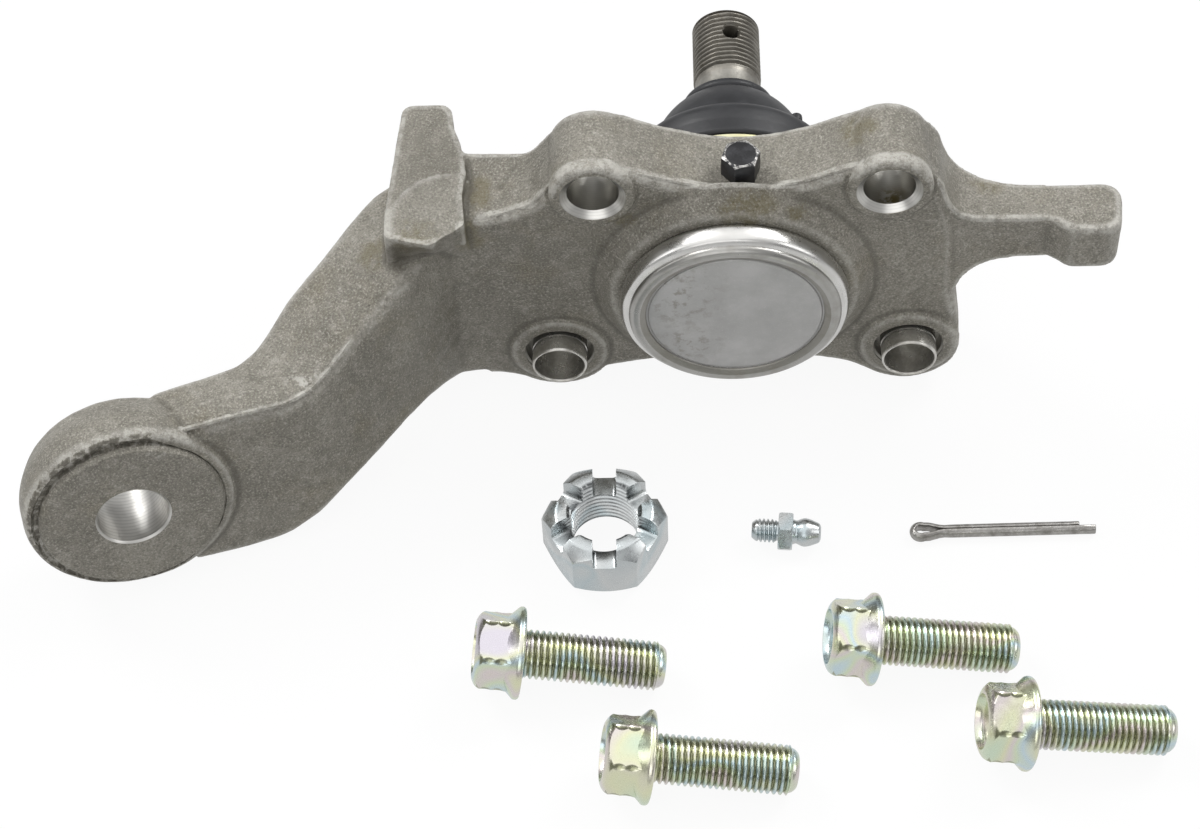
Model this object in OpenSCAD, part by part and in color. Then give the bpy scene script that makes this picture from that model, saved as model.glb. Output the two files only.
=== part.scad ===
// Lower ball joint with a forged steering arm, its closing hardware and its loose fasteners.
// Origin: centre of the ball. +X runs along the bolt rows, +Y along the stud, +Z to the grease plug.
// The forging stands on its two lower lobes and on the eye of its arm.

/* [Flange] */
// Y of the flange's front face, on the cap side
flange_front = -9; // [-9.5:0.1:-8.8]
// Y of the flange's rear face, on the stud side
flange_rear = 10; // [9.5:0.1:11]
// Half width of the lower bolt row
lower_row = 44.5; // [44:0.1:45]
// Z of the lower bolt row
lower_row_z = -26.5; // [-27:0.1:-26]
// X of the upper left bolt hole
upper_left_x = -34; // [-34.5:0.1:-33.5]
// X of the upper right bolt hole
upper_right_x = 37; // [36.5:0.1:37.5]
// Z of the upper bolt row
upper_row_z = 34; // [33.5:0.1:34.5]
// Diameter of the clearance holes for the M12 bolts
bolt_hole_d = 12.6; // [12.4:0.1:13]
// Radius of the lobes round the upper holes
upper_lobe_r = 10.6; // [10:0.1:11.4]
// Radius of the lobes round the lower holes
lower_lobe_r = 13.2; // [12.4:0.1:13.3]
// Diameter of the raised seats round the upper holes
upper_seat_d = 21; // [20:0.1:22]
// Diameter of the raised seats round the lower holes
lower_seat_d = 24; // [22:0.1:24.6]

/* [Arm and eye] */
// Centre of the eye's front face: X
eye_x = -146.8; // [-147.5:0.1:-146]
// Centre of the eye's front face: Y
eye_y = -66.8; // [-67.5:0.1:-66]
// Centre of the eye's front face: Z
eye_z = -14.4; // [-14.6:0.05:-14]
// Diameter of the eye's machined face
eye_face_d = 44.6; // [44:0.1:45]
// Largest diameter of the eye, at the parting line
eye_d = 52.2; // [51:0.1:52.4]
// Thickness of the eye
eye_t = 19; // [18:0.1:19.5]
// Bore of the eye
eye_bore_d = 17.6; // [17:0.1:18]
// Angle that the eye and the end of the arm are turned by, towards the cap's centre line
eye_turn = 17; // [16:0.5:18]
// Angle that the eye's front face looks up by
eye_tilt = 7.5; // [7:0.5:8]

/* [Socket] */
// Diameter of the stud's ball
ball_d = 29; // [28:0.1:29]
// Outer diameter of the socket housing where it is pressed into the forging
housing_d = 52; // [51.6:0.1:52.4]
// Diameter of the housing's front shoulder
shoulder_d = 56.6; // [56:0.1:57]
// Bore of the housing
housing_bore_d = 41; // [40.8:0.1:41.2]
// Y of the closing plate's front face
plate_y = -20; // [-20.2:0.1:-19.9]
// Thickness of the closing plate
plate_t = 2.8; // [2.6:0.1:3]
// Running clearance between the ball, the seats and the housing
running = 0.06; // [0.04:0.01:0.09]

/* [Stud] */
// Nominal diameter of the stud's thread
thread_d = 17.7; // [17.6:0.1:17.9]
// Y of the stud's free end
stud_end = 76; // [75:0.1:77]
// Y where the thread starts
thread_start = 55.5; // [54:0.1:56]
// Largest diameter of the taper
taper_d = 21.4; // [20.5:0.1:21.6]
// Diameter of the cotter hole
cotter_hole_d = 4.3; // [4:0.1:4.6]
// Y of the cotter hole
cotter_hole_y = 67.6; // [67:0.1:68]

/* [Boot] */
// Outer diameter of the boot's skirt
skirt_d = 54.6; // [54:0.1:55]
// Outer radius of the boot's dome
dome_r = 20.5; // [20:0.1:20.8]
// Wall of the boot
boot_wall = 1.8; // [1.6:0.1:2]

/* [Fasteners] */
// Y where the sleeves end, in front of the flange
sleeve_front = -14.7; // [-15:0.1:-14]
// Outer diameter of the dowel sleeves
sleeve_d = 14; // [13.9:0.05:14.1]
// Bore of the dowel sleeves
sleeve_bore_d = 12.4; // [12.3:0.05:12.5]
// Width across the flats of the castle nut
nut_af = 27; // [26.6:0.1:27]
// Height of the castle nut
nut_h = 16; // [15.5:0.1:16.5]
// Width across the flats of the flange bolts
bolt_af = 17; // [16.8:0.1:17]
// Length of the flange bolts under the head
bolt_l = 34.5; // [34.5:0.1:34.8]
// Height of the flange bolts' heads, with the flange
bolt_head = 11.6; // [11.4:0.1:11.8]
// Width across the flats of the grease plug
plug_af = 8.4; // [8:0.1:9]

/* [Hidden] */
$fn = 64;

// surface that the part stands on
floor_z = -41.8;
ball_r = ball_d / 2;
housing_r = housing_d / 2;
seat_r = housing_bore_d / 2 - running;
cap_r = shoulder_d / 2;
// the forging's collar round the socket housing
collar_y = -13.5;
// rear end of the socket housing, and the step that the boot's base ring sits on
housing_rear = 17.8;
ring_seat_r = 24.5;
ring_y = flange_rear + 1;
ring_rear = 15.9;
// how far the lower seats stand out, and the room round each dowel sleeve
lower_seat_rise = 1.2;
sleeve_room_d = 16.9;
sleeve_room_y = -5.8;
sleeve_rear = -1;
// pitch of the threads, and the depth of the ring grooves that stand for them
thread_pitch = 1.5;
stud_groove = 0.85;
bolt_groove = 0.8;
// valley between the upper lobes, where the plug sits
plug_x = 1.6;
plug_y = -2.2;
valley_z = 33.4;

// Small helpers

function arc(cx, cy, r, a0, a1, n = 8) =
    [for (i = [0:n]) let (a = a0 + (a1 - a0) * i / n) [cx + r * cos(a), cy + r * sin(a)]];

// cuts every corner of a closed outline once, a quarter of the way along each side
function cut_corners(p) =
    [for (i = [0:len(p) - 1]) let (a = p[i], b = p[(i + 1) % len(p)]) each [a * 0.75 + b * 0.25, a * 0.25 + b * 0.75]];

function smooth(p, n) = n == 0 ? p : smooth(cut_corners(p), n - 1);

// a thread as ring grooves, in points of [radius, along]: flat crests of radius r, one each pitch
function thread_rings(r, groove, start, grooves) = [
    for (i = [0:grooves]) let (y = start + thread_pitch * i)
        each concat([[r, y], [r, y + 0.36]], i < grooves ? [[r - groove, y + 0.93]] : [])
];

// an outline drawn in X and Z, extruded from y0 to y1
module slab(y0, y1) {
    translate([0, y1, 0]) rotate([90, 0, 0]) linear_extrude(y1 - y0) children();
}

// local +Z turned to +Y, at a place
module along_y(x = 0, y = 0, z = 0) {
    translate([x, y, z]) rotate([-90, 0, 0]) children();
}

// a body of revolution about the Y axis; points are [radius, y]
module turned(points) {
    along_y() rotate_extrude() polygon(points);
}

module hexagon(af, h) {
    cylinder(d = af / cos(30), h = h, $fn = 6);
}

// Forging

// outline of the flange, seen from the front
flange_points = [
    [-66, 23.8], [-58, 25.8], [-54, 27.6], [-50, 29.2], [-48, 31.2], [-44, 36.4], [-39, 41.4], [-29, 43.2], [-21, 39], [-13, 36.2],
    [-6, 33.9], [2, 33.2], [10, 34], [18, 36.2], [26, 40], [34, 42.8], [42.5, 41.6], [49, 33.6], [51.5, 27],
    [53.5, 20], [54.5, 10],
    [54.5, 0], [55, -8], [56.8, -15], [57.6, -24], [56.5, -34], [51, -40.5],
    [44, -41.6], [36, -40.5], [29, -35.2], [16, -32.6], [0, -31.6], [-16, -32.2], [-28, -34.6], [-36, -37],
    [-41, -41.4], [-49, -41.8], [-55, -39.2], [-60, -37.4], [-66, -37]
];

module flange_outline() {
    polygon(smooth(flange_points, 2));
    translate([upper_left_x, upper_row_z]) circle(r = upper_lobe_r);
    translate([upper_right_x, upper_row_z]) circle(r = upper_lobe_r);
    for (x = [-lower_row, lower_row]) translate([x, lower_row_z - 2]) circle(r = lower_lobe_r);
}

// the flange's top beside the stop rises to the rear
module flange_ramp() {
    translate([-66, 0, 0]) rotate([90, 0, 90]) linear_extrude(14)
        polygon([[flange_front, 20], [flange_rear, 20], [flange_rear, 29], [flange_front, 24]]);
}

// the tongue seen from above, with the thicker pad at its end, and from the front
tongue_plan = concat(
    [[40, flange_front], [78, flange_front], [82.5, flange_front - 3.2], [88, flange_front - 3.2]],
    arc(89.6, flange_front + 1.3, 4.5, -90, 0, 6), arc(89.9, -1.9, 4.6, 0, 90, 6),
    [[72, 2.7], [66, 3.4], [60, 5.6], [54, 8.8], [48, flange_rear], [40, flange_rear]]
);
tongue_front = [
    [40, 42], [49.4, 36], [51.5, 27], [55, 22], [61, 20.7], [84, 21], [100, 21], [100, 6], [84, 5.8], [70, 6],
    [62, 4.6], [56.5, -1], [55, -8], [40, -16]
];

// the steering stop seen from above
stop_plan = concat(
    [
        [-65.2, -12.2], [-70.9, -16.9], [-73, -19.2], [-78.4, -18.4], [-83.4, -17.4], [-84.4, -16.4], [-84.5, -10],
        [-83.6, 0]
    ],
    arc(-78.6, 22.2, 3, 180, 90, 4), arc(-71.9, 22.2, 3, 90, 0, 4),
    [[-68.4, 17.6], [-66.7, 12.5], [-64.9, 2.8], [-65.9, -3.5]]
);

// top of the stop, the foot of its front pad and the foot of its rear lug
stop_top = 29.5;
stop_pad_z = 17.5;
stop_foot_z = 9;

// Stations of the arm from the flange to the eye:
// front x, front y, rear x, rear y, top z, bottom z, and how far the front face looks up, in degrees
arm_stations = [
    [-52, -8.7, -52, 9.7, 26.5, -36.6, 0],
    [-64, -8.9, -68, 9.8, 25.8, -36.9, 0],
    [-70, -10.6, -80, 10.2, 23.2, -35.2, 1],
    [-74.2, -16.6, -88.6, 5, 20.3, -30.9, 3],
    [-78.3, -22.4, -95.8, -5.2, 18, -28.2, 4.5],
    [-84, -28.8, -102.2, -12.6, 13.8, -28.6, 6],
    [-90, -35, -108.4, -19.4, 9.8, -30.3, 8],
    [-95.5, -41.4, -112.9, -26.4, 6.6, -31.7, 8],
    [-100.5, -46.6, -116.6, -31.6, 4.8, -33.4, 8],
    [-106, -50.6, -120.3, -35.6, 4.6, -37, 8],
    [-113.6, -53.6, -124.5, -38.4, 5.2, -40.6, 8],
    [-123.5, -56.8, -131, -41, 5.2, -41.2, 8],
    [-136, -60.4, -141.3, -44.4, 4.4, -41, 8]
];

// a rounded section of the arm at one station, as a closed ring of points
function arm_ring(s, r = 4) =
    let (
        front = [s[0], s[1], 0],
        across = [s[2] - s[0], s[3] - s[1], 0],
        t = norm(across),
        u = across / t,
        h = s[4] - s[5],
        lean = tan(s[6]),
        corners = [[t - r, h - r, 0], [r, h - r, 90], [r, r, 180], [t - r, r, 270]]
    )
    [for (c = corners) for (k = [0:3])
        let (a = c[2] + 30 * k, along = c[0] + r * cos(a), up = c[1] + r * sin(a))
        front + u * (along + (up - h / 2) * lean) + [0, 0, s[5] + up]];

module arm() {
    rings = [for (s = arm_stations) arm_ring(s)];
    n = len(rings[0]);
    last = len(rings) - 1;
    sides = [for (i = [0:last - 1]) for (j = [0:n - 1]) let (k = (j + 1) % n)
        each [[i * n + j, i * n + k, (i + 1) * n + k], [i * n + j, (i + 1) * n + k, (i + 1) * n + j]]];
    ends = [[for (j = [n - 1:-1:0]) j], [for (j = [0:n - 1]) last * n + j]];
    polyhedron([for (ring = rings) each ring], concat(sides, ends), convexity = 6);
}

// places its children at the eye, with local +Z along the bore to the rear and z = 0 on the front face
module at_eye() {
    translate([eye_x, eye_y, eye_z]) rotate([0, 0, eye_turn]) rotate([-90 - eye_tilt, 0, 0]) children();
}

module eye() {
    at_eye() rotate_extrude() polygon([
        [0, 0], [eye_face_d / 2, 0], [eye_face_d / 2 + 0.4, 1.2], [eye_d / 2 - 0.9, 2.2], [eye_d / 2, 3.6],
        [eye_d / 2, eye_t / 2 + 1], [eye_face_d / 2 + 1.2, eye_t - 1.6], [eye_face_d / 2 - 1, eye_t], [0, eye_t]
    ]);
}

module collar() {
    turned([
        [housing_r - 1, flange_front + 2], [36, flange_front + 2], [36, flange_front - 0.4],
        [33.6, flange_front - 1.4], [31, collar_y + 0.8], [30, collar_y], [housing_r - 1, collar_y]
    ]);
}

module forged_arm() {
    color("#8d8a82") difference() {
        union() {
            slab(flange_front, flange_rear) flange_outline();
            flange_ramp();
            for (x = [upper_left_x, upper_right_x])
                along_y(x, flange_front - 1, upper_row_z) cylinder(d = upper_seat_d, h = 5);
            for (x = [-lower_row, lower_row])
                along_y(x, flange_front - lower_seat_rise, lower_row_z) cylinder(d = lower_seat_d, h = 5);
            collar();
            intersection() {
                translate([0, 0, -20]) linear_extrude(70) polygon(tongue_plan);
                slab(flange_front - 4, flange_rear) polygon(smooth(tongue_front, 2));
            }
            translate([0, 0, stop_pad_z]) linear_extrude(stop_top - stop_pad_z) polygon(stop_plan);
            intersection() {
                translate([0, 0, stop_foot_z]) linear_extrude(stop_top - stop_foot_z) polygon(stop_plan);
                translate([-100, 8, -20]) cube([60, 30, 60]);
            }
            arm();
            eye();
        }
        along_y(0, -40, 0) cylinder(r = housing_r, h = 80);
        for (x = [upper_left_x, upper_right_x]) {
            along_y(x, flange_front - 5, upper_row_z) cylinder(d = bolt_hole_d, h = 30);
            along_y(x, flange_front - 2, upper_row_z) cylinder(d1 = bolt_hole_d + 3.2, d2 = bolt_hole_d, h = 1.8);
        }
        for (x = [-lower_row, lower_row]) {
            along_y(x, flange_front - 5, lower_row_z) cylinder(d = bolt_hole_d, h = 30);
            along_y(x, -20, lower_row_z) cylinder(d = sleeve_d, h = sleeve_rear + 20);
            along_y(x, -20, lower_row_z) cylinder(d = sleeve_room_d, h = sleeve_room_y + 20);
        }
        at_eye() translate([0, 0, -5]) cylinder(d = eye_bore_d, h = eye_t + 10);
        at_eye() translate([0, 0, -0.2]) cylinder(d1 = eye_bore_d + 2, d2 = eye_bore_d, h = 1);
        translate([plug_x, plug_y, 20]) cylinder(d = 6, h = 30);
    }
}

// Socket and its contents

module socket_housing() {
    color("#b9b8b4") difference() {
        along_y() rotate_extrude() polygon(concat(
            [[21.8, plate_y - 0.9]], arc(cap_r - 3.5, plate_y + 3.0, 3.5, -75, 0, 6),
            [
                [cap_r, -15], [cap_r - 1, collar_y], [housing_r, collar_y], [housing_r, ring_y],
                [ring_seat_r, ring_y], [ring_seat_r, housing_rear], [18.2, housing_rear], [13.4, 9.6],
                [16.2, 9.6], [housing_bore_d / 2, 5], [housing_bore_d / 2, plate_y + plate_t],
                [23.4, plate_y + plate_t], [23.4, plate_y], [21.8, plate_y]
            ]
        ));
        translate([plug_x, plug_y, 18]) cylinder(d = 6, h = 12);
    }
}

module closing_plate() {
    color("#a9a8a5") turned([
        [0, plate_y], [20.4, plate_y], [21, plate_y + 0.8], [21.7, plate_y + 0.8], [21.7, plate_y],
        [23.4, plate_y], [23.4, plate_y + plate_t], [0, plate_y + plate_t]
    ]);
}

// a conical spring washer between the closing plate and the lower seat
module preload_spring() {
    back = plate_y + plate_t + running;
    color("#5c5f63") turned([[15.4, back], [16.6, back], [8.2, back + 2], [7, back + 2]]);
}

// ball-shaped hollow of a seat
function hollow(a0, a1) = arc(0, 0, ball_r + running, a0, a1, 24);

module lower_bearing_seat() {
    back = plate_y + plate_t + running;
    color("#e6e0cc") difference() {
        along_y() rotate_extrude() polygon(concat(
            [[6, back + 2 + 0.01], [9, back + 2 + 0.01], [16.8, back + 0.15], [seat_r, back + 0.15], [seat_r, -0.3]],
            [[ball_r + running, -0.3]], hollow(-3, -66)
        ));
        along_y(0, -30, 0) cylinder(r = 6.2, h = 20);
    }
}

module upper_bearing_seat() {
    color("#e6e0cc") along_y() rotate_extrude() polygon(concat(
        [[ball_r + running, 0], [seat_r, 0], [seat_r, 4.9], [16.1, 9.3], [13.4, 9.3]],
        hollow(34, 2)
    ));
}

// Stud

module ball_stud() {
    neck_r = 8;
    // plain shank behind the rolled thread
    shank_r = thread_d / 2 - 0.6;
    // the ball is cut flat at the back, where the grease lies, and runs into the neck at the front
    flat = asin(4.5 / ball_r);
    neck = acos(neck_r / ball_r);
    color("#84827c") difference() {
        along_y() rotate_extrude() polygon(concat(
            [[0, -ball_r * cos(flat)]], arc(0, 0, ball_r, flat - 90, neck, 20),
            [
                [neck_r, 18.6], [taper_d / 2, 26.6], [shank_r, 50.5], [shank_r, thread_start - 0.6]
            ],
            thread_rings(thread_d / 2, stud_groove, thread_start, 12),
            [[thread_d / 2 - 1.6, stud_end], [0, stud_end]]
        ));
        translate([0, cotter_hole_y, 0]) rotate([0, 9, 0]) cylinder(d = cotter_hole_d, h = 40, center = true);
    }
}

// Boot

module dust_boot() {
    // the skirt hangs over the housing's rear step, down to the base ring
    edge_y = ring_rear + 0.3;
    y0 = housing_rear + 0.4;
    skirt_r = skirt_d / 2;
    dome_y = 28.7;
    neck_y = 48.2;
    color("#2b2c2f") along_y() rotate_extrude() polygon(concat(
        [
            [skirt_r - 3.4, y0], [ring_seat_r + 0.3, y0], [ring_seat_r + 0.3, edge_y], [skirt_r - 0.6, edge_y],
            [skirt_r, edge_y + 0.8], [skirt_r, y0 + 7.6]
        ],
        arc(skirt_r - 2.4, y0 + 7.8, 2.4, 0, 90, 3),
        [[dome_r + 1.2, y0 + 9.6]],
        arc(0, dome_y, dome_r, 4, 58, 10),
        [[11.6, neck_y], [thread_d / 2 + 0.5, neck_y], [thread_d / 2 + 0.8, neck_y - 4.6], [12.6, neck_y - 4.4]],
        arc(0, dome_y, dome_r - boot_wall, 50, 2, 8),
        [[dome_r - boot_wall + 0.6, y0 + 8], [skirt_r - 3.4, y0 + 6.4]]
    ));
}

module boot_base_ring() {
    color("#cfc48a") turned([
        [ring_seat_r, ring_y], [26.6, ring_y], [26.6, ring_rear], [ring_seat_r, ring_rear]
    ]);
}

module boot_neck_ring() {
    color("#77787a") turned([[9.6, 42.2], [11.4, 42.2], [11.4, 43.3], [9.6, 43.3]]);
}

// Plug and sleeves

module grease_plug() {
    color("#2a2b2d") translate([plug_x, plug_y, 0]) {
        translate([0, 0, 24]) cylinder(d = 6, h = valley_z - 24 + 0.1);
        translate([0, 0, valley_z + 0.1]) intersection() {
            rotate([0, 0, 12]) hexagon(plug_af, 6.5);
            rotate_extrude() polygon([[0, 0], [6, 0], [6, 5.4], [plug_af / 2, 6.5], [0, 6.5]]);
        }
    }
}

// a thin tube with a shallow groove where it leaves the forging
module dowel_sleeve(x) {
    length = sleeve_rear - sleeve_front;
    groove = flange_front - lower_seat_rise - 0.2 - sleeve_front;
    r = sleeve_d / 2;
    bore = sleeve_bore_d / 2;
    color("#8f8d88") along_y(x, sleeve_front, lower_row_z) rotate_extrude() polygon([
        [bore + 0.3, 0], [r - 0.5, 0], [r, 0.5], [r, groove], [r - 0.3, groove + 0.1], [r - 0.3, groove + 0.5],
        [r, groove + 0.6], [r, length], [bore, length], [bore, 0.3]
    ]);
}

module dowel_sleeve_left() {
    dowel_sleeve(-lower_row);
}

module dowel_sleeve_right() {
    dowel_sleeve(lower_row);
}

// Loose fasteners, lying on the surface that the part stands on

nut_place = [-33.2, -59.8, floor_z];
fitting_place = [3.2, -58.6, floor_z + 4.5];
cotter_place = [44.7, -58.3, floor_z + 1.65];
// head top centre and direction of each bolt on the floor
bolt_places = [[-64.5, -96.9, -1.9], [-33.8, -125.9, -1.9], [20.2, -95.1, -0.1], [55, -119.1, 1]];

module castle_nut() {
    bore_d = 16.4;
    slot = 5.9;
    slot_floor = 10.6;
    color("#c5cbd0") translate(nut_place) difference() {
        intersection() {
            hexagon(nut_af, nut_h);
            rotate_extrude() polygon([
                [0, 0], [13.2, 0], [15.7, 2.4], [15.7, nut_h - 3.2], [12, nut_h], [0, nut_h]
            ]);
        }
        translate([0, 0, -1]) cylinder(d = bore_d, h = nut_h + 2);
        translate([0, 0, -0.2]) cylinder(d1 = bore_d + 2, d2 = bore_d, h = 1);
        translate([0, 0, nut_h - 1]) cylinder(d1 = bore_d, d2 = bore_d + 2.4, h = 1.2);
        for (a = [30, 90, 150]) rotate([0, 0, a]) translate([-20, -slot / 2, slot_floor]) cube([40, slot, 10]);
    }
}

// a split pin: two half-round legs and a rolled eye, lying flat
module cotter_pin() {
    r = 1.65;
    color("#8c8984") translate(cotter_place) rotate([0, 0, 0.6]) {
        for (side = [-1, 1]) intersection() {
            rotate([0, 90, 0]) cylinder(r = r, h = side > 0 ? 40 : 44);
            translate([2.6, side > 0 ? 0.05 : -4.05, -3]) cube([50, 4, 6]);
        }
        difference() {
            intersection() {
                translate([1, 0, 0]) cylinder(r = 2.8, h = 2 * r, center = true);
                translate([-4, -5, -2]) cube([7, 10, 4]);
            }
            translate([0.8, 0, -3]) cylinder(r = 1.35, h = 6);
        }
    }
}

// the fitting's own axis: the thread starts at x = 0 and the head is at x = 17
module fitting_pose() {
    translate(fitting_place) rotate([0, 0, -4.8]) rotate([30, 0, 0]) rotate([0, 90, 0]) children();
}

module grease_fitting() {
    color("#c3c8cc") fitting_pose() difference() {
        union() {
            rotate_extrude() polygon([[0, 0], [2.2, 0], [2.9, 1.2], [2.9, 6.6], [0, 6.6]]);
            translate([0, 0, 6.6]) hexagon(9, 3.6);
            rotate_extrude() polygon([
                [0, 10], [2.9, 10], [2.9, 11.2], [3.6, 12.8], [3.6, 13.6], [2.4, 16.8], [1.3, 17.2], [0, 17.2]
            ]);
        }
        translate([0, 0, -1]) cylinder(d = 2, h = 14);
        translate([0, 0, 5]) cylinder(d = 2.6, h = 10.4);
        translate([0, 0, 15]) cylinder(d = 1.5, h = 4);
    }
}

module fitting_check_ball() {
    color("#9a9c9e") fitting_pose() translate([0, 0, 14.25]) sphere(r = 1.1);
}

// coil spring behind the check ball
module fitting_spring() {
    turns = 5;
    steps = 10;
    wire = 0.16;
    coil = 0.95;
    pitch = 1.45;
    ring = [for (k = [0:5]) [coil + wire * cos(60 * k), wire * sin(60 * k)]];
    count = turns * steps;
    points = [for (i = [0:count]) let (a = 360 * i / steps) for (p = ring)
        [p[0] * cos(a), p[0] * sin(a), 5.2 + p[1] + pitch * i / steps]];
    sides = [for (i = [0:count - 1]) for (j = [0:5]) let (k = (j + 1) % 6)
        each [[i * 6 + j, (i + 1) * 6 + k, i * 6 + k], [i * 6 + j, (i + 1) * 6 + j, (i + 1) * 6 + k]]];
    ends = [[for (j = [0:5]) j], [for (j = [5:-1:0]) count * 6 + j]];
    color("#7d7f82") fitting_pose() polyhedron(points, concat(sides, ends));
}

// a flange bolt lying on its flange and the end of its thread; the head's top is at x = 0
module flange_bolt(place) {
    flange_r = 11.2;
    thread_r = 5.95;
    corner_r = bolt_af / 2 + 1.3;
    axis_height = 12.85;
    tilt = 9.15;
    hex_turn = -13.3;
    end = bolt_head + bolt_l;
    color("#b9bd92") translate([place[0], place[1], floor_z + axis_height]) rotate([0, 0, place[2]])
        rotate([0, tilt, 0]) rotate([0, 90, 0]) difference() {
            union() {
                intersection() {
                    rotate([0, 0, hex_turn]) hexagon(bolt_af, bolt_head - 2);
                    rotate_extrude() polygon([
                        [0, 0], [corner_r - 2.4, 0], [corner_r, 2], [corner_r, bolt_head], [0, bolt_head]
                    ]);
                }
                rotate_extrude() polygon(concat(
                    [
                        [0, bolt_head - 5.4], [bolt_af / 2 - 0.4, bolt_head - 4.6], [flange_r - 0.7, bolt_head - 2],
                        [flange_r, bolt_head - 1.4], [flange_r, bolt_head - 0.4], [flange_r - 0.4, bolt_head],
                        [thread_r - 0.6, bolt_head], [thread_r - 0.6, bolt_head + 0.5]
                    ],
                    thread_rings(thread_r, bolt_groove, bolt_head + 0.9, 21),
                    [[thread_r - 0.5, end - 1.2], [thread_r - 1.6, end], [0, end]]
                ));
            }
            translate([0, 0, -1]) cylinder(d1 = 14.5, d2 = 9, h = 3.4);
        }
}

module flange_bolt_1() {
    flange_bolt(bolt_places[0]);
}

module flange_bolt_2() {
    flange_bolt(bolt_places[1]);
}

module flange_bolt_3() {
    flange_bolt(bolt_places[2]);
}

module flange_bolt_4() {
    flange_bolt(bolt_places[3]);
}

forged_arm();
socket_housing();
closing_plate();
preload_spring();
lower_bearing_seat();
upper_bearing_seat();
ball_stud();
dust_boot();
boot_base_ring();
boot_neck_ring();
grease_plug();
dowel_sleeve_left();
dowel_sleeve_right();
castle_nut();
cotter_pin();
grease_fitting();
fitting_check_ball();
fitting_spring();
flange_bolt_1();
flange_bolt_2();
flange_bolt_3();
flange_bolt_4();
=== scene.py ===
import math
import bmesh
import bpy
import numpy as np
from mathutils import Matrix, Vector, kdtree, noise


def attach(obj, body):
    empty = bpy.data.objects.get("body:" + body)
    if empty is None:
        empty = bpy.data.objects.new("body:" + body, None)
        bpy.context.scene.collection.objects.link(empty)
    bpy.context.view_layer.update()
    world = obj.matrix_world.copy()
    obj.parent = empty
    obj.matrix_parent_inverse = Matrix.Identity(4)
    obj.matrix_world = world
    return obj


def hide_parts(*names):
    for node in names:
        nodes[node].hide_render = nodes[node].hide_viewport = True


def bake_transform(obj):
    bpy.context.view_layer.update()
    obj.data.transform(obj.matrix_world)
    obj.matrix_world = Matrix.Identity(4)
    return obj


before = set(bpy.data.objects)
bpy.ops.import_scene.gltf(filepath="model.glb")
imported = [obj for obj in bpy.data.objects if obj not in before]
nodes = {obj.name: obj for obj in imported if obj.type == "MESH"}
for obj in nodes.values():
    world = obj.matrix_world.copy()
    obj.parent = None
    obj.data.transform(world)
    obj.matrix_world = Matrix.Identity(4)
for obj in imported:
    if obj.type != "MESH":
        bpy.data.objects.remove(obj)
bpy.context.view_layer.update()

mm = 0.001
floorZ = -41.8
scene = bpy.context.scene
rad = math.radians


def spin(degrees, axis):
    return Matrix.Rotation(rad(degrees), 4, axis)


# camera
cameraView = {"place": (-14.6, -458.6, 565.1), "lookDown": 54.1, "roll": 1.9, "lens": 87.0, "sensor": 36.0}
cameraData = bpy.data.cameras.new("photoCamera")
cameraData.lens = cameraView["lens"]
cameraData.sensor_width = cameraView["sensor"]
camera = bpy.data.objects.new("photoCamera", cameraData)
scene.collection.objects.link(camera)
camera.matrix_world = (
    Matrix.Translation(Vector(cameraView["place"]) * mm)
    @ spin(cameraView["roll"], "Y")
    @ spin(90 - cameraView["lookDown"], "X")
)
scene.camera = camera
scene.view_settings.view_transform = "Standard"
print("camera in place")


# mesh helpers, with all sizes in millimetres


def newObject(name, points, faces, place=None):
    mesh = bpy.data.meshes.new(name)
    turn = place or Matrix.Identity(4)
    mesh.from_pydata([turn @ Vector(p) * mm for p in points], [], faces)
    mesh.update()
    obj = bpy.data.objects.new(name, mesh)
    scene.collection.objects.link(obj)
    fixNormals(obj)
    return obj


def fixNormals(obj):
    work = bmesh.new()
    work.from_mesh(obj.data)
    bmesh.ops.recalc_face_normals(work, faces=work.faces)
    work.to_mesh(obj.data)
    work.free()


def bake(obj):
    # swaps the mesh for the one that its modifiers give
    graph = bpy.context.evaluated_depsgraph_get()
    mesh = bpy.data.meshes.new_from_object(obj.evaluated_get(graph), depsgraph=graph)
    old = obj.data
    obj.modifiers.clear()
    obj.data = mesh
    bpy.data.meshes.remove(old)
    return obj


def combine(obj, other, how):
    mod = obj.modifiers.new("combine", "BOOLEAN")
    mod.operation = how
    mod.solver = "MANIFOLD"
    mod.object = other
    bpy.context.view_layer.update()
    before = len(obj.data.polygons)
    bake(obj)
    if len(obj.data.polygons) == 0:
        raise RuntimeError(how + " emptied " + obj.name)
    print("  ", how.lower(), other.name, before, "->", len(obj.data.polygons))
    bpy.data.objects.remove(other)
    return obj


def join(name, parts):
    mesh = bpy.data.meshes.new(name)
    work = bmesh.new()
    for part in parts:
        work.from_mesh(part.data)
        bpy.data.objects.remove(part)
    work.to_mesh(mesh)
    work.free()
    obj = bpy.data.objects.new(name, mesh)
    scene.collection.objects.link(obj)
    return obj


def roundEdges(obj, width, segments=2, angle=30):
    mod = obj.modifiers.new("round", "BEVEL")
    mod.width = width * mm
    mod.segments = segments
    mod.limit_method = "ANGLE"
    mod.angle_limit = rad(angle)
    mod.harden_normals = False
    return bake(obj)


def smoothShade(obj, angle):
    obj.data.shade_smooth()
    obj.data.set_sharp_from_angle(angle=rad(angle))


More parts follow.
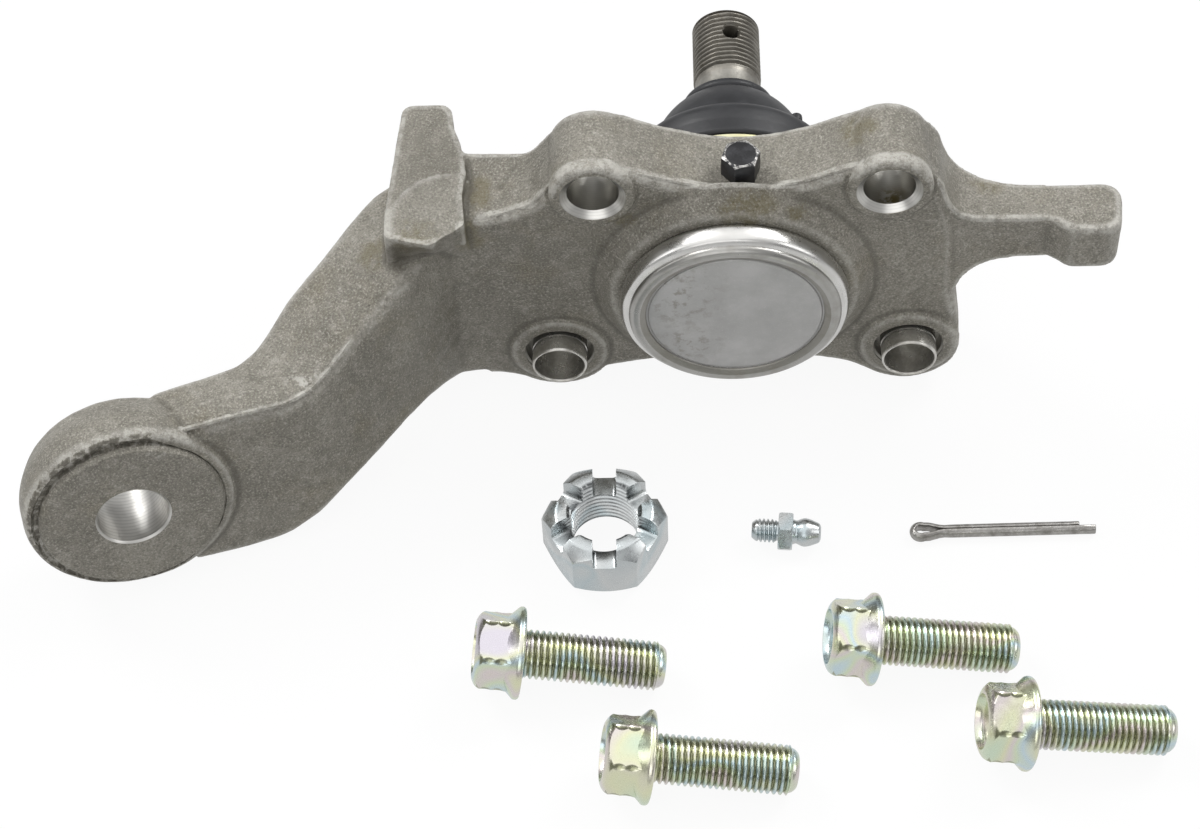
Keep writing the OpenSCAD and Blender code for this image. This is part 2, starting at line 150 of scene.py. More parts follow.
def soften(points, closed=False):
    # rounds the corners of a profile; a third number is the fillet radius at that corner
    out = []
    count = len(points)
    for i, p in enumerate(points):
        here = Vector(p[:2])
        radius = p[2] if len(p) > 2 else 0.0
        if radius <= 0 or (not closed and i in (0, count - 1)):
            out.append((here.x, here.y))
            continue
        back = Vector(points[i - 1][:2]) - here
        ahead = Vector(points[(i + 1) % count][:2]) - here
        a = here + back.normalized() * min(radius, back.length * 0.48)
        b = here + ahead.normalized() * min(radius, ahead.length * 0.48)
        for k in range(5):
            t = k / 4
            q = a * (1 - t) ** 2 + here * 2 * t * (1 - t) + b * t * t
            out.append((q.x, q.y))
    return out


def lathe(name, profile, place, segments=96, closed=False, wave=None):
    # turns a profile of (radius, along) about local Z; wave(along, angle) is cut off the radius
    profile = soften(profile, closed)
    points, rings = [], []
    for radius, along in profile:
        if radius < 1e-6:
            rings.append([len(points)])
            points.append((0, 0, along))
            continue
        ring = []
        for j in range(segments):
            angle = 2 * math.pi * j / segments
            r = radius - (wave(along, angle) if wave else 0)
            ring.append(len(points))
            points.append((r * math.cos(angle), r * math.sin(angle), along))
        rings.append(ring)
    faces = []
    pairs = list(zip(rings, rings[1:])) + ([(rings[-1], rings[0])] if closed else [])
    for low, high in pairs:
        if len(low) == 1 and len(high) == 1:
            continue
        for j in range(segments):
            k = (j + 1) % segments
            if len(low) == 1:
                faces.append((low[0], high[j], high[k]))
            elif len(high) == 1:
                faces.append((low[j], low[k], high[0]))
            else:
                faces.append((low[j], low[k], high[k], high[j]))
    return newObject(name, points, faces, place)


def prism(name, outline, low, high, place=None):
    # an outline of (x, y) pushed up from low to high
    count = len(outline)
    points = [(x, y, z) for z in (low, high) for x, y in outline]
    faces = [tuple(range(count)), tuple(range(count, 2 * count))]
    faces += [(i, (i + 1) % count, count + (i + 1) % count, count + i) for i in range(count)]
    return newObject(name, points, faces, place)


def ringFaces(rings, count, closed=False):
    # joins rings of count points each, and caps the ends of an open row
    faces = []
    for i in range(rings if closed else rings - 1):
        for j in range(count):
            k, above = (j + 1) % count, (i + 1) % rings * count
            faces.append((i * count + j, i * count + k, above + k, above + j))
    if not closed:
        faces += [tuple(range(count - 1, -1, -1)), tuple(range((rings - 1) * count, rings * count))]
    return faces


def sweep(name, path, sections, place=None):
    # carries one section of (outward, up) per path point along a path in the plane of the floor
    points, up = [], Vector((0, 0, 1))
    for i, p in enumerate(path):
        ahead = Vector(path[min(i + 1, len(path) - 1)]) - Vector(path[max(i - 1, 0)])
        side = ahead.normalized().cross(up).normalized()
        points += [tuple(Vector(p) + side * u + up * v) for u, v in sections[i]]
    return newObject(name, points, ringFaces(len(path), len(sections[0])), place)


flashPath = []


def raggedLine(name, corners, size, seed):
    # the ragged ridge that trimmed flash leaves along a path, about 2 * size wide
    path = []
    for a, b in zip(corners, corners[1:]):
        a, b = Vector(a), Vector(b)
        parts = max(int((b - a).length / 0.8), 1)
        path += [a.lerp(b, k / parts) for k in range(parts)]
    path.append(Vector(corners[-1]))
    for _ in range(3):
        inner = [(p + 2 * q + r) / 4 for p, q, r in zip(path, path[1:], path[2:])]
        path = [path[0]] + inner + [path[-1]]
    sections = []
    for i, p in enumerate(path):
        taper = min(1, i / 6, (len(path) - 1 - i) / 6)
        wide = size * (1 + 0.75 * noise.noise(Vector((i * 0.5, seed, 0)))) * taper + 0.05
        angles = [k * math.pi / 3 for k in range(6)]
        sections.append([(wide * math.cos(a), wide * 0.85 * math.sin(a)) for a in angles])
        path[i] = p + Vector((0, 0, 0.25 * size * noise.noise(Vector((i * 0.33, seed, 5)))))
    flashPath.extend(path)
    return sweep(name, path, sections)


def arc(cx, cy, r, a0, a1, n=8):
    return [(cx + r * math.cos(rad(a0 + (a1 - a0) * i / n)),
             cy + r * math.sin(rad(a0 + (a1 - a0) * i / n))) for i in range(n + 1)]


def cutCorners(outline, times):
    for _ in range(times):
        cut = []
        for i, p in enumerate(outline):
            q = outline[(i + 1) % len(outline)]
            cut.append((p[0] * 0.75 + q[0] * 0.25, p[1] * 0.75 + q[1] * 0.25))
            cut.append((p[0] * 0.25 + q[0] * 0.75, p[1] * 0.25 + q[1] * 0.75))
        outline = cut
    return outline


def threadDepth(turns):
    # 0 at the crest and 1 at the root of a rounded 60 degree thread
    t = abs((turns % 1.0) * 2 - 1)
    t = min(max((t - 0.22) / 0.66, 0), 1)
    return t * t * (3 - 2 * t) * 0.5 + t * 0.5


def threadWave(start, end, pitch, depth, runIn=1.0, runOut=0.0):
    def wave(along, angle):
        if along < start or along > end:
            return 0
        fade = min((along - start) / runIn, 1)
        if runOut:
            fade = min(fade, (end - along) / runOut)
        return depth * threadDepth(along / pitch - angle / (2 * math.pi)) * fade + depth * 0.5 * (1 - fade)
    return wave


def steps(start, end, pitch, rows=8):
    count = int(round((end - start) / pitch * rows))
    return [start + (end - start) * i / count for i in range(count + 1)]


def pointsOf(mesh, what="co"):
    values = np.empty(len(mesh.vertices) * 3)
    mesh.vertices.foreach_get(what, values)
    return values.reshape(-1, 3)


def between(values, low, high):
    return (values > low) & (values < high)


def treeOf(points):
    tree = kdtree.KDTree(len(points))
    for i, p in enumerate(points):
        tree.insert(p, i)
    tree.balance()
    return tree


def setValues(mesh, name, values):
    layer = mesh.attributes.new(name, "FLOAT", "POINT")
    layer.data.foreach_set("value", np.asarray(values, np.float32))


def edgeSharpness(mesh):
    # how strongly the surface turns at each point, per millimetre; below 0 in a hollow
    count = len(mesh.vertices)
    points, normals = pointsOf(mesh) / mm, pointsOf(mesh, "normal")
    pairs = np.empty(len(mesh.edges) * 2, int)
    mesh.edges.foreach_get("vertices", pairs)
    a, b = pairs.reshape(-1, 2).T
    way = points[b] - points[a]
    length = np.linalg.norm(way, axis=1) + 1e-9
    bendA = -(normals[a] * way).sum(1) / length ** 2
    bendB = (normals[b] * way).sum(1) / length ** 2
    share = np.bincount(a, minlength=count) + np.bincount(b, minlength=count) + 1e-9
    value = (np.bincount(a, bendA, count) + np.bincount(b, bendB, count)) / share
    for _ in range(5):
        around = np.bincount(a, value[b], count) + np.bincount(b, value[a], count)
        value = (value + around / share) / 2
    return points, value


def carryOver(obj, name, points, value):
    # gives each point of a mesh the value of the nearest point that was measured
    tree = treeOf(points)
    setValues(obj.data, name, [value[tree.find(v.co / mm)[1]] for v in obj.data.vertices])


def alongY(x=0.0, y=0.0, z=0.0):
    return Matrix.Translation((x, y, z)) @ spin(-90, "X")


# turns an outline in X and Y to stand in Y and Z, or in X and Z
acrossX = Matrix(((0, 0, 1, 0), (1, 0, 0, 0), (0, 1, 0, 0), (0, 0, 0, 1)))
acrossY = Matrix(((1, 0, 0, 0), (0, 0, 1, 0), (0, 1, 0, 0), (0, 0, 0, 1)))


def paint(obj, materials, choose=None):
    obj.data.materials.clear()
    for material in materials:
        obj.data.materials.append(material)
    if choose:
        for face in obj.data.polygons:
            face.material_index = choose(face.center / mm, face.normal)


def fit(obj, body, node, angle=None, materials=None, choose=None):
    # finishes a piece and gives it its place in the model
    if materials:
        paint(obj, materials, choose)
    if angle:
        smoothShade(obj, angle)
    obj.name = node + "_look"
    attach(obj, body)
    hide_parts(node)
    return obj


# material helpers


class Nodes:
    # a short way to lay out the nodes of a material, or of an owner that starts empty
    def __init__(self, name, owner=None):
        self.owner = owner or bpy.data.materials.new(name)
        self.owner.use_nodes = True
        self.tree = self.owner.node_tree
        if owner:
            self.tree.nodes.clear()
        else:
            self.shader = self.tree.nodes["Principled BSDF"]
            self.place = self.add("TexCoord").outputs["Object"]

    def add(self, kind, inputs=None, **settings):
        # an input is given a value or the output that it is linked to
        node = self.tree.nodes.new("ShaderNode" + kind)
        for key, value in settings.items():
            setattr(node, key, value)
        for key, value in (inputs or {}).items():
            self.put(node.inputs[key], value)
        return node

    def put(self, target, value):
        if isinstance(value, (int, float)):
            target.default_value = value
        elif isinstance(value, tuple):
            isColour = len(value) == 3 and len(target.default_value) == 4
            target.default_value = (*value, 1.0) if isColour else value
        else:
            self.tree.links.new(value, target)

    def math(self, how, a, b=0.0):
        return self.add("Math", {0: a, 1: b}, operation=how).outputs[0]

    def times(self, a, b):
        return self.math("MULTIPLY", a, b)

    def plus(self, a, b):
        return self.math("ADD", a, b)

    def vector(self, how, a, b=(0.0, 0.0, 0.0)):
        return self.add("VectorMath", {0: a, 1: b}, operation=how).outputs

    def attribute(self, name):
        return self.add("Attribute", attribute_name=name).outputs["Fac"]

    def noise(self, size, detail=3.0, rough=0.55, where=None, distort=0.0):
        # size is the width of one blotch in millimetres
        return self.add("TexNoise", {
            "Vector": where or self.place, "Scale": 1000.0 / size, "Detail": detail, "Roughness": rough,
            "Distortion": distort,
        }).outputs["Fac"]

    def spots(self, size):
        node = self.add("TexVoronoi", {"Vector": self.place, "Scale": 1000.0 / size}, feature="F1")
        return node.outputs["Distance"]

    def step(self, value, low, high, to0=0.0, to1=1.0):
        ends = {0: value, 1: low, 2: high, 3: to0, 4: to1}
        return self.add("MapRange", ends, interpolation_type="SMOOTHSTEP").outputs[0]

    def mix(self, amount, a, b):
        return self.add("Mix", {"Factor": amount, "A": a, "B": b}, data_type="RGBA").outputs["Result"]

    def ramp(self, value, stops):
        node = self.add("ValToRGB", {0: value})
        row = node.color_ramp
        while len(row.elements) < len(stops):
            row.elements.new(0.5)
        for element, (at, colour) in zip(row.elements, stops):
            element.position = at
            element.color = (*colour, 1.0)
        return node.outputs[0]

    def bump(self, height, depth, before=None):
        # depth in millimetres
        inputs = {"Strength": 1.0, "Distance": depth * mm, "Height": height}
        if before:
            inputs["Normal"] = before
        return self.add("Bump", inputs).outputs[0]

    def near(self, point, radius, squash=(1, 1, 1)):
        # 1 at a point in millimetres, falling to 0 at the radius
        shift = self.vector("SUBTRACT", self.place, tuple(v * mm for v in point))[0]
        size = self.vector("LENGTH", self.vector("MULTIPLY", shift, squash)[0])["Value"]
        return self.step(size, 0.0, radius * mm, 1.0, 0.0)

    def along(self, axis):
        return self.vector("DOT_PRODUCT", self.place, axis)["Value"]

    def radial(self, stretch=0.02):
        # a coordinate that changes across turned rings and hardly along them
        x, y, z = self.add("SeparateXYZ", {0: self.place}).outputs
        size = self.math("SQRT", self.plus(self.math("POWER", x, 2.0), self.math("POWER", z, 2.0)))
        turn = self.times(self.math("ARCTAN2", x, z), stretch * 0.02)
        return self.add("CombineXYZ", {0: size, 1: y, 2: turn}).outputs[0]

    def done(self, colour, rough, metal, normal):
        inputs = {"Base Color": colour, "Roughness": rough, "Metallic": metal, "Normal": normal}
        for key, value in inputs.items():
            self.put(self.shader.inputs[key], value)
        return self.owner


def scaled(colour, by):
    return tuple(v * by for v in colour)


def mottled(name, cloud, spread, tones, rough, metal, grain, depth, turned=False, over=None):
    # two tones in clouds, with a grain or turned rings; over lays something on the colour
    m = Nodes(name)
    cloud = m.noise(*cloud)
    fine = m.noise(*grain, m.radial()) if turned else m.noise(*grain)
    colour = m.mix(m.step(cloud, *spread), *tones)
    if over:
        colour = over(m, fine, colour)
    if isinstance(rough, tuple):
        rough = m.step(cloud, 0.3, 0.7, *rough)
    return m.done(colour, rough, metal, m.bump(fine, depth))


# forging
forgingLook = {
    "base": (0.187, 0.176, 0.147), "light": (0.258, 0.244, 0.208), "dark": (0.080, 0.073, 0.058),
    "olive": (0.175, 0.150, 0.096), "oil": (0.118, 0.096, 0.036), "worn": (0.55, 0.535, 0.495), "metal": 0.3,
    # the tone after sand is the colour of the painted shadow under the stop's bottom edge
    "sand": (0.46, 0.44, 0.39), "underStopShadow": (0.055, 0.046, 0.03), "pit": (0.045, 0.04, 0.03),
    "roughness": 0.48, "grain": 0.52, "grainDepth": 0.34,
}


def forgedSteel():
    m = Nodes("forgedSteel")
    look = forgingLook
    patch, blotch = m.noise(7, 5, 0.65), m.noise(3.4, 4, 0.6)
    grain, coarse = m.noise(look["grain"], 3, 0.65), m.noise(1.9, 3, 0.6)
    colour = m.mix(m.step(m.noise(34, 4, 0.6), 0.36, 0.66), look["base"], look["light"])
    # source, where it starts and ends, amount, tone
    for source, low, high, amount, tone in (
        (m.noise(21, 5, 0.7), 0.5, 0.72, 0.5, "olive"), (patch, 0.5, 0.78, 0.4, "dark"),
        (blotch, 0.5, 0.72, 0.28, "sand"), (blotch, 0.48, 0.3, 0.22, "dark"),
        (grain, 0.52, 0.68, 0.72, "sand"), (grain, 0.5, 0.34, 0.6, "dark"), (coarse, 0.5, 0.34, 0.14, "dark"),
    ):
        colour = m.mix(m.step(source, low, high, 0.0, amount), colour, look[tone])
    # pits left by scale
    pit = m.times(m.step(m.spots(11), 0.045, 0.026), m.step(m.noise(26, 2), 0.42, 0.56))
    colour = m.mix(m.times(pit, 0.75), colour, look["pit"])
    # oil that crept into the corners
    oil = m.near(*oilMarks[0])
    for mark in oilMarks[1:]:
        oil = m.math("MAXIMUM", oil, m.near(*mark))
    oil = m.step(m.times(oil, m.step(m.noise(4, 5, 0.75), 0.3, 0.64, 0.2, 1.4)), 0.2, 0.95, 0.0, 0.55)
    colour = m.mix(oil, colour, look["oil"])
    # bright wear on the edges; darker in the hollows, which also lays the painted shade round the upper seats
    edge = m.attribute("edgeWearAndShade")
    wear = m.times(m.step(edge, 0.024, 0.12), m.step(m.noise(2.9, 5, 0.8), 0.38, 0.6, 0.28, 1.0))
    for mark in scrapes:
        wear = m.math("MAXIMUM", wear, m.times(m.near(*mark), m.step(coarse, 0.48, 0.64, 0.0, 1.1)))
    colour = m.mix(m.times(wear, 0.75), colour, look["worn"])
    colour = m.mix(m.step(edge, -0.02, -0.09, 0.0, 0.6), colour, look["dark"])
    colour = m.mix(m.times(m.near(*stopShade), 0.3), colour, look["dark"])
    # painted shadow under the stop's bottom edge, broken up by noise
    for mark in underStopShadowMarks:
        colour = m.mix(m.times(m.near(*mark), m.step(patch, 0.3, 0.62, 0.35, 1.0)), colour, look["underStopShadow"])
    mattness = m.step(grain, 0.3, 0.7, look["roughness"] - 0.08, look["roughness"] + 0.1)
    normal = m.bump(m.plus(grain, m.times(coarse, 0.7)), look["grainDepth"])
    normal = m.bump(m.noise(11, 3, 0.5), 0.3, normal)
    return m.done(colour, m.plus(m.times(oil, -0.24), mattness), look["metal"], normal)


# places scraped bright: point, radius
scrapes = [
    ((-104, -43, 5.5), 8), ((-138.5, -61, 5.7), 4), ((-93, -37, 8.5), 5), ((-66.5, -12, 27), 4),
    ((-84, -17, 29), 3),
]
# painted shadow under the stop's bottom edge: point, radius
underStopShadowMarks = [((-81, -20, 22.5), 8), ((-74, -20, 21.5), 8)]
# where the stop's top is darker, and where the oil stands: point, radius, stretch
stopShade = ((-76, 5, 30), 28, (1.2, 1, 3))
oilMarks = [
    ((-88, -13, 18), 8, (1, 1, 1)), ((-62, -2, 27), 8, (1.2, 0.8, 1)), ((-77, -15, 27), 9, (0.8, 1.2, 1)),
    ((-64, -10, 20), 8, (1, 1, 0.8)), ((3, -13, 31), 12, (0.9, 1, 1.4)),
    ((16, -12, 29), 7, (1, 1, 1.5)), ((-27, -9, 25), 7, (1, 1, 1.4)), ((38, 0, 28), 8, (1, 1, 1)),
    ((62, 4, 21), 8, (1, 1, 1)), ((-64, -8, 20), 6, (1, 1, 0.8)), ((-164, -74, 4), 6, (1, 1, 1)),
    ((30, 3, 42), 9, (1, 1, 1)),
]


def machinedSteel(name, colour, rough, axis, pitch, depth, ringTint, stain=None):
    # a bored surface with the tool's rings across the axis
    m = Nodes(name)
    place, cloud = m.along(axis), m.noise(9, 3)
    wobble = m.times(m.noise(12, 2), 0.0006)
    rings = m.math("SINE", m.times(m.plus(place, wobble), 2 * math.pi / (pitch * mm)))
    fine = m.math("SINE", m.times(place, 2 * math.pi / (pitch * 0.31 * mm)))
    height = m.plus(m.step(rings, -0.4, 0.9), m.times(fine, 0.2))
    tint = m.mix(m.step(cloud, 0.35, 0.7), colour, scaled(colour, 0.8))
    tint = m.mix(m.step(rings, -0.2, -0.9, 0.0, ringTint), tint, scaled(colour, 0.4))
    if stain:
        spread = m.times(m.near(stain, 6), m.step(m.noise(2.5, 4, 0.7), 0.36, 0.56))
        tint = m.mix(spread, tint, forgingLook["oil"])
    return m.done(tint, m.step(cloud, 0.3, 0.7, rough, rough + 0.06), 1.0, m.bump(height, depth))


forging = {
    "front": -9.0, "rear": 9.8, "voxel": 0.62, "smoothing": 6,
    "lowerRow": (44.5, -26.5), "upperLeft": (-34.0, 34.0), "upperRight": (37.0, 34.0), "housingR": 26.0,
    "eye": (-146.8, -66.8, -14.4), "eyeTurn": 17.0, "eyeTilt": 7.5, "eyeT": 19.0, "eyeFaceR": 22.3,
    "eyeR": 26.1, "eyeBoreR": 8.8,
    "quickVoxel": 0.9, "stopShare": 0.45, "tipX": 76, "tipPasses": 16,
}
# length and height of the slow waves and dents of a hammered surface
hammerWaves = ((17, 0.2), (5.5, 0.1), (2.4, 0.045))
# how far from a trimmed edge the metal is scraped
flashReach = 1.15
flangeOutline = [
    (-66, 23.8), (-58, 25.8), (-54, 27.6), (-50, 29.2), (-48, 31.2), (-44, 36.4), (-39, 41.4), (-29, 43.2),
    (-21, 39), (-13, 36.2), (-6, 33.9), (2, 33.2), (10, 34), (18, 36.2), (26, 40),
    (34, 42.8), (42.5, 41.6), (49, 33.6), (51.5, 27),
    (53.5, 20), (54.5, 10), (54.5, 0), (55, -8), (56.8, -15), (57.6, -24), (56.5, -34), (51, -40.5),
    (44, -41.6), (36, -40.5), (29, -35.2), (16, -32.6), (0, -31.6), (-16, -32.2), (-28, -34.6), (-36, -37),
    (-41, -41.4), (-49, -41.8), (-55, -39.2), (-60, -37.4), (-66, -37),
]
tonguePlan = (
    [(40, -8.2), (76.5, -8.2), (82, -12.2), (88, -12.2)] + arc(89.6, -7.7, 4.5, -90, 0, 6)
    + arc(89.9, -1.9, 4.6, 0, 90, 6) + [(72, 2.7), (66, 3.4), (60, 5.6), (54, 8.8), (48, 10), (40, 10)]
)
tongueFront = [
    (40, 42), (49.4, 36), (51.5, 27), (55, 22), (61, 20.7), (84, 21), (100, 21), (100, 6), (84, 5.8), (70, 6),
    (62, 4.6), (56.5, -1), (55, -8), (40, -16),
]
stopPlan = (
    [(-65.2, -12.2), (-70.9, -16.9), (-73, -19.2), (-78.4, -18.4), (-83.4, -17.4), (-84.4, -16.4), (-84.5, -10),
     (-83.6, 0)]
    + arc(-78.6, 22.2, 3, 180, 90, 4) + arc(-71.9, 22.2, 3, 90, 0, 4)
    + [(-68.4, 17.6), (-66.7, 12.5), (-64.9, 2.8), (-65.9, -3.5)]
)
dishCentre = (-68.6, -12.2)
# front x, front y, rear x, rear y, top z, bottom z, lean of the front face in degrees
armStations = [
    (-52, -8.7, -52, 9.7, 26.5, -36.6, 0), (-64, -8.9, -68, 9.8, 25.8, -36.9, 0),
    (-70, -10.6, -80, 10.2, 23.2, -35.2, 1), (-74.2, -16.6, -88.6, 5, 20.3, -30.9, 3),
    (-78.3, -22.4, -95.8, -5.2, 18, -28.2, 4.5), (-84, -28.8, -102.2, -12.6, 13.8, -28.6, 6),
    (-90, -35, -108.4, -19.4, 9.8, -30.3, 8), (-95.5, -41.4, -112.9, -26.4, 6.6, -31.7, 8),
    (-100.5, -46.6, -116.6, -31.6, 4.8, -33.4, 8), (-106, -50.6, -120.3, -35.6, 4.6, -37, 8),
    (-113.6, -53.6, -124.5, -38.4, 5.2, -40.6, 8), (-123.5, -56.8, -131, -41, 5.2, -41.2, 8),
    (-136, -60.4, -141.3, -44.4, 4.4, -41, 8),
]


def shrink(outline, amount):
    # pulls a closed outline inwards
    area = sum(a[0] * b[1] - b[0] * a[1] for a, b in zip(outline, outline[1:] + outline[:1]))
    side, pulled = math.copysign(amount, area), []
    for i, p in enumerate(outline):
        ahead = Vector(outline[(i + 1) % len(outline)]) - Vector(outline[i - 1])
        ahead.normalize()
        pulled.append((p[0] - ahead.y * side, p[1] + ahead.x * side))
    return pulled


def softStations(rows, parts=4):
    # more stations between the given ones, smoothed once
    dense = []
    for a, b in zip(rows, rows[1:]):
        for k in range(parts):
            t = k / parts
            dense.append([u * (1 - t) + v * t for u, v in zip(a, b)])
    dense.append(list(rows[-1]))
    soft = [[(p + 2 * q + r) / 4 for p, q, r in zip(*three)] for three in zip(dense, dense[1:], dense[2:])]
    return [dense[0]] + soft + [dense[-1]]


def armRing(s, r=3.4):
    # the top has a low crown, behind its front edge
    front, across = Vector((s[0], s[1], 0)), Vector((s[2] - s[0], s[3] - s[1], 0))
    t, h, lean = across.length, s[4] - s[5], math.tan(rad(s[6]))
    u = across.normalized()
    spots = []
    for cx, cy, a0 in [(t - r, h - r - 0.9, 0), (r, h - r, 90), (r, r, 180), (t - r, r, 270)]:
        if a0 == 90:
            spots.append((t * 0.4, h + 0.5))
        for k in range(4):
            a = rad(a0 + 30 * k)
            spots.append((cx + r * math.cos(a), cy + r * math.sin(a)))
    ring = []
    for out, up in spots:
        ring.append(tuple(front + u * (out + (up - h / 2) * lean) + Vector((0, 0, s[5] + up))))
    return ring


def armFrontTop(s, back, rise):
    # a point by the front top edge of the arm at one station
    front, across = Vector((s[0], s[1], 0)), Vector((s[2] - s[0], s[3] - s[1], 0))
    shift = (s[4] - s[5]) / 2 * math.tan(rad(s[6])) + back
    return tuple(front + across.normalized() * shift + Vector((0, 0, s[4] + rise)))


def makeArm():
    rings = [armRing(s) for s in softStations(armStations)]
    return newObject("armBody", [p for ring in rings for p in ring], ringFaces(len(rings), len(rings[0])))


def slab(name, outline, y0, y1):
    # an outline in X and Z, thick along Y
    return prism(name, outline, y0, y1, acrossY)


def stopBlock():
    # straight at the left, while the right front corner leans back into the flange's face below
    points = []
    levels = ((4, 1.2), (12, 0.92), (18, 0.62), (23, 0.3), (26.5, 0.06), (28, 0), (29.5, 0))
    for z, lean in levels:
        for x, y in stopPlan:
            share = lean * min(max((x + 84) / 9, 0), 1)
            points.append((x, y + share * max(forging["front"] - y, 0), z))
    return newObject("stopBlock", points, ringFaces(len(levels), len(stopPlan)))


def eyePlace():
    f = forging
    return (Matrix.Translation(f["eye"]) @ spin(f["eyeTurn"], "Z")
            @ spin(-90 - f["eyeTilt"], "X"))


def eyeGroove():
    # the ragged groove between the eye's disc and its rim, wide on the left and a thin line by the arm
    count, radius, points = 240, forging["eyeFaceR"] + 0.45, []
    for i in range(count):
        angle = 2 * math.pi * i / count
        c, s = math.cos(angle), math.sin(angle)
        rag = noise.noise(Vector((c * 4, s * 4, 3))) + 0.6 * noise.noise(Vector((c * 13, s * 13, 8)))
        # local +X looks along the arm
        left = min(max((0.62 - c) / 0.3, 0), 1)
        width = 0.4 + 1.3 * left + 0.4 * rag * (0.3 + left)
        deep = 1.9 + 0.7 * left + 0.5 * noise.noise(Vector((c * 7, s * 7, 1)))
        section = ((0, -1), (width + 1.5, -1), (width, deep - 0.6), (width * 0.6, deep), (0, deep))
        points += [((radius + out) * c, (radius + out) * s, z) for out, z in section]
    return newObject("eyeGroove", points, ringFaces(count, len(section), True), eyePlace())


def forgedBulk():
    # the joined rough solids of the forging
    f = forging
    front, rear, eyeR, eyeT = f["front"], f["rear"], f["eyeR"], f["eyeT"]
    tongue = prism("tongue", tonguePlan, -20, 50)
    combine(tongue, slab("tongueOutline", cutCorners(tongueFront, 2), front - 4, rear), "INTERSECT")
    outline = cutCorners(flangeOutline, 2)
    bulk = [
        tongue, slab("flange", outline, front + 1.9, rear),
        slab("flangeFace", shrink(outline, 1.6), front, rear - 1),
        slab("flangeEdge", shrink(outline, 0.7), front + 0.8, rear - 1), makeArm(),
        prism("ramp", [(front, 20), (rear, 20), (rear, 29), (front, 24)], -66, -52, acrossX),
    ]
    for x, z in (f["upperLeft"], f["upperRight"]):
        lobe = [(0, front), (10.5, front, 0.4), (10.5, rear, 2.4), (0, rear)]
        bulk.append(lathe("lobe", lobe, alongY(x, 0, z)))
    for side in (-1, 1):
        x, z = side * f["lowerRow"][0], f["lowerRow"][1]
        lobe = [(0, front), (13.2, front), (13.2, rear, 2), (0, rear)]
        boss = [(0, front - 1.3), (12.1, front - 1.3, 1), (13.4, front + 1), (0, front + 1)]
        bulk += [lathe("lobe", lobe, alongY(x, 0, z - 2)), lathe("boss", boss, alongY(x, 0, z))]
    collar = [(0, -13.5), (29.6, -13.5, 0.6), (30.8, -12.9, 1), (33.2, front - 1.6, 1.5), (37, front + 1.5),
              (0, front + 1.5)]
    bulk += [lathe("collar", collar, alongY()), stopBlock()]
    lug = prism("stopLug", stopPlan, 9, 29.5)
    combine(lug, prism("stopRear", [(-100, 8), (-50, 8), (-50, 40), (-100, 40)], -20, 50), "INTERSECT")
    eye = [(0, 1.4), (22.5, 1.4), (eyeR - 1.0, 1.9, 0.6), (eyeR, 3.4, 0.8), (eyeR, 10.5, 1.5),
           (eyeR - 2.6, eyeT - 1.4, 1.5), (eyeR - 5, eyeT), (0, eyeT)]
    bulk += [lug, lathe("eyeBody", eye, eyePlace())]
    return join("forgedBody", bulk)


def markWear(obj):
    # the trimmed flash is scraped bright
    layer = obj.data.attributes["edgeWearAndShade"].data
    at = pointsOf(obj.data) / mm
    tree = treeOf(flashPath)
    path = np.array([tuple(p) for p in flashPath])
    for i in np.flatnonzero(between(at, path.min(0) - 2, path.max(0) + 2).all(1)):
        if tree.find(at[i])[2] < flashReach:
            layer[i].value = max(layer[i].value, 0.1 + 0.08 * noise.noise(Vector(at[i]) * 0.3))
    # dark and bright flakes along the eye's groove
    toEye = np.array(eyePlace().inverted())
    eye = at @ toEye[:3, :3].T + toEye[:3, 3]
    r = np.hypot(eye[:, 0], eye[:, 1])
    for i in np.flatnonzero(between(r, 22.7, 25.5) & between(eye[:, 2], 0.6, 4) & (eye[:, 0] < 9)):
        flake = noise.noise(Vector(eye[i]) * 0.7) + 0.5 * noise.noise(Vector(eye[i]) * 2.3)
        layer[i].value = -0.08 if flake < 0.08 else 0.1
    # the stop's dish is lighter, with a brighter rim, and painted shade darkens a thin ring round the lower part
    # of each upper seat
    r = np.hypot(at[:, 0] - dishCentre[0], at[:, 1] - dishCentre[1])
    for i in np.flatnonzero((r < 14.9) & (at[:, 0] < -64) & (at[:, 2] > 27)):
        layer[i].value = max(layer[i].value, 0.095 if r[i] > 14.1 else 0.04)
    # painted shade in the crease round each upper seat
    for x, z in (forging["upperLeft"], forging["upperRight"]):
        r = np.hypot(at[:, 0] - x, at[:, 2] - z)
        for i in np.flatnonzero(between(r, 10.65, 11.4) & (at[:, 1] < -7.5) & (at[:, 2] < z + 5)):
            layer[i].value = -0.07


def roughForging():
    # one skin over the joined solids, softened and hammered
    f, body = forging, forgedBulk()
    remesh = body.modifiers.new("remesh", "REMESH")
    remesh.mode = "VOXEL"
    remesh.voxel_size = f["voxel"] * mm
    bake(body)
    # the stop keeps harder edges than the rest
    at = pointsOf(body.data) / mm
    onStop = between(at[:, 0], -86, -62) & (at[:, 2] > 26.5)
    for name, passes, shares in (
        ("soft", f["smoothing"], ((~onStop, 1.0), (onStop, f["stopShare"]))),
        ("tip", f["tipPasses"], ((at[:, 0] > f["tipX"], 1.0),)),
    ):
        group = body.vertex_groups.new(name=name)
        for chosen, share in shares:
            group.add(np.flatnonzero(chosen).tolist(), share, "REPLACE")
        smooth = body.modifiers.new(name, "SMOOTH")
        smooth.factor = 0.5
        smooth.iterations = passes
        smooth.vertex_group = name
    bake(body)
    points, sharp = edgeSharpness(body.data)
    print("forging body", len(body.data.polygons), "faces")
    waves = [sum(noise.noise(p / size) * height for size, height in hammerWaves) for p in map(Vector, points)]
    moved = (points + pointsOf(body.data, "normal") * np.array(waves)[:, None]) * mm
    body.data.vertices.foreach_set("co", moved.ravel())
    body.data.update()
    return body, points, sharp


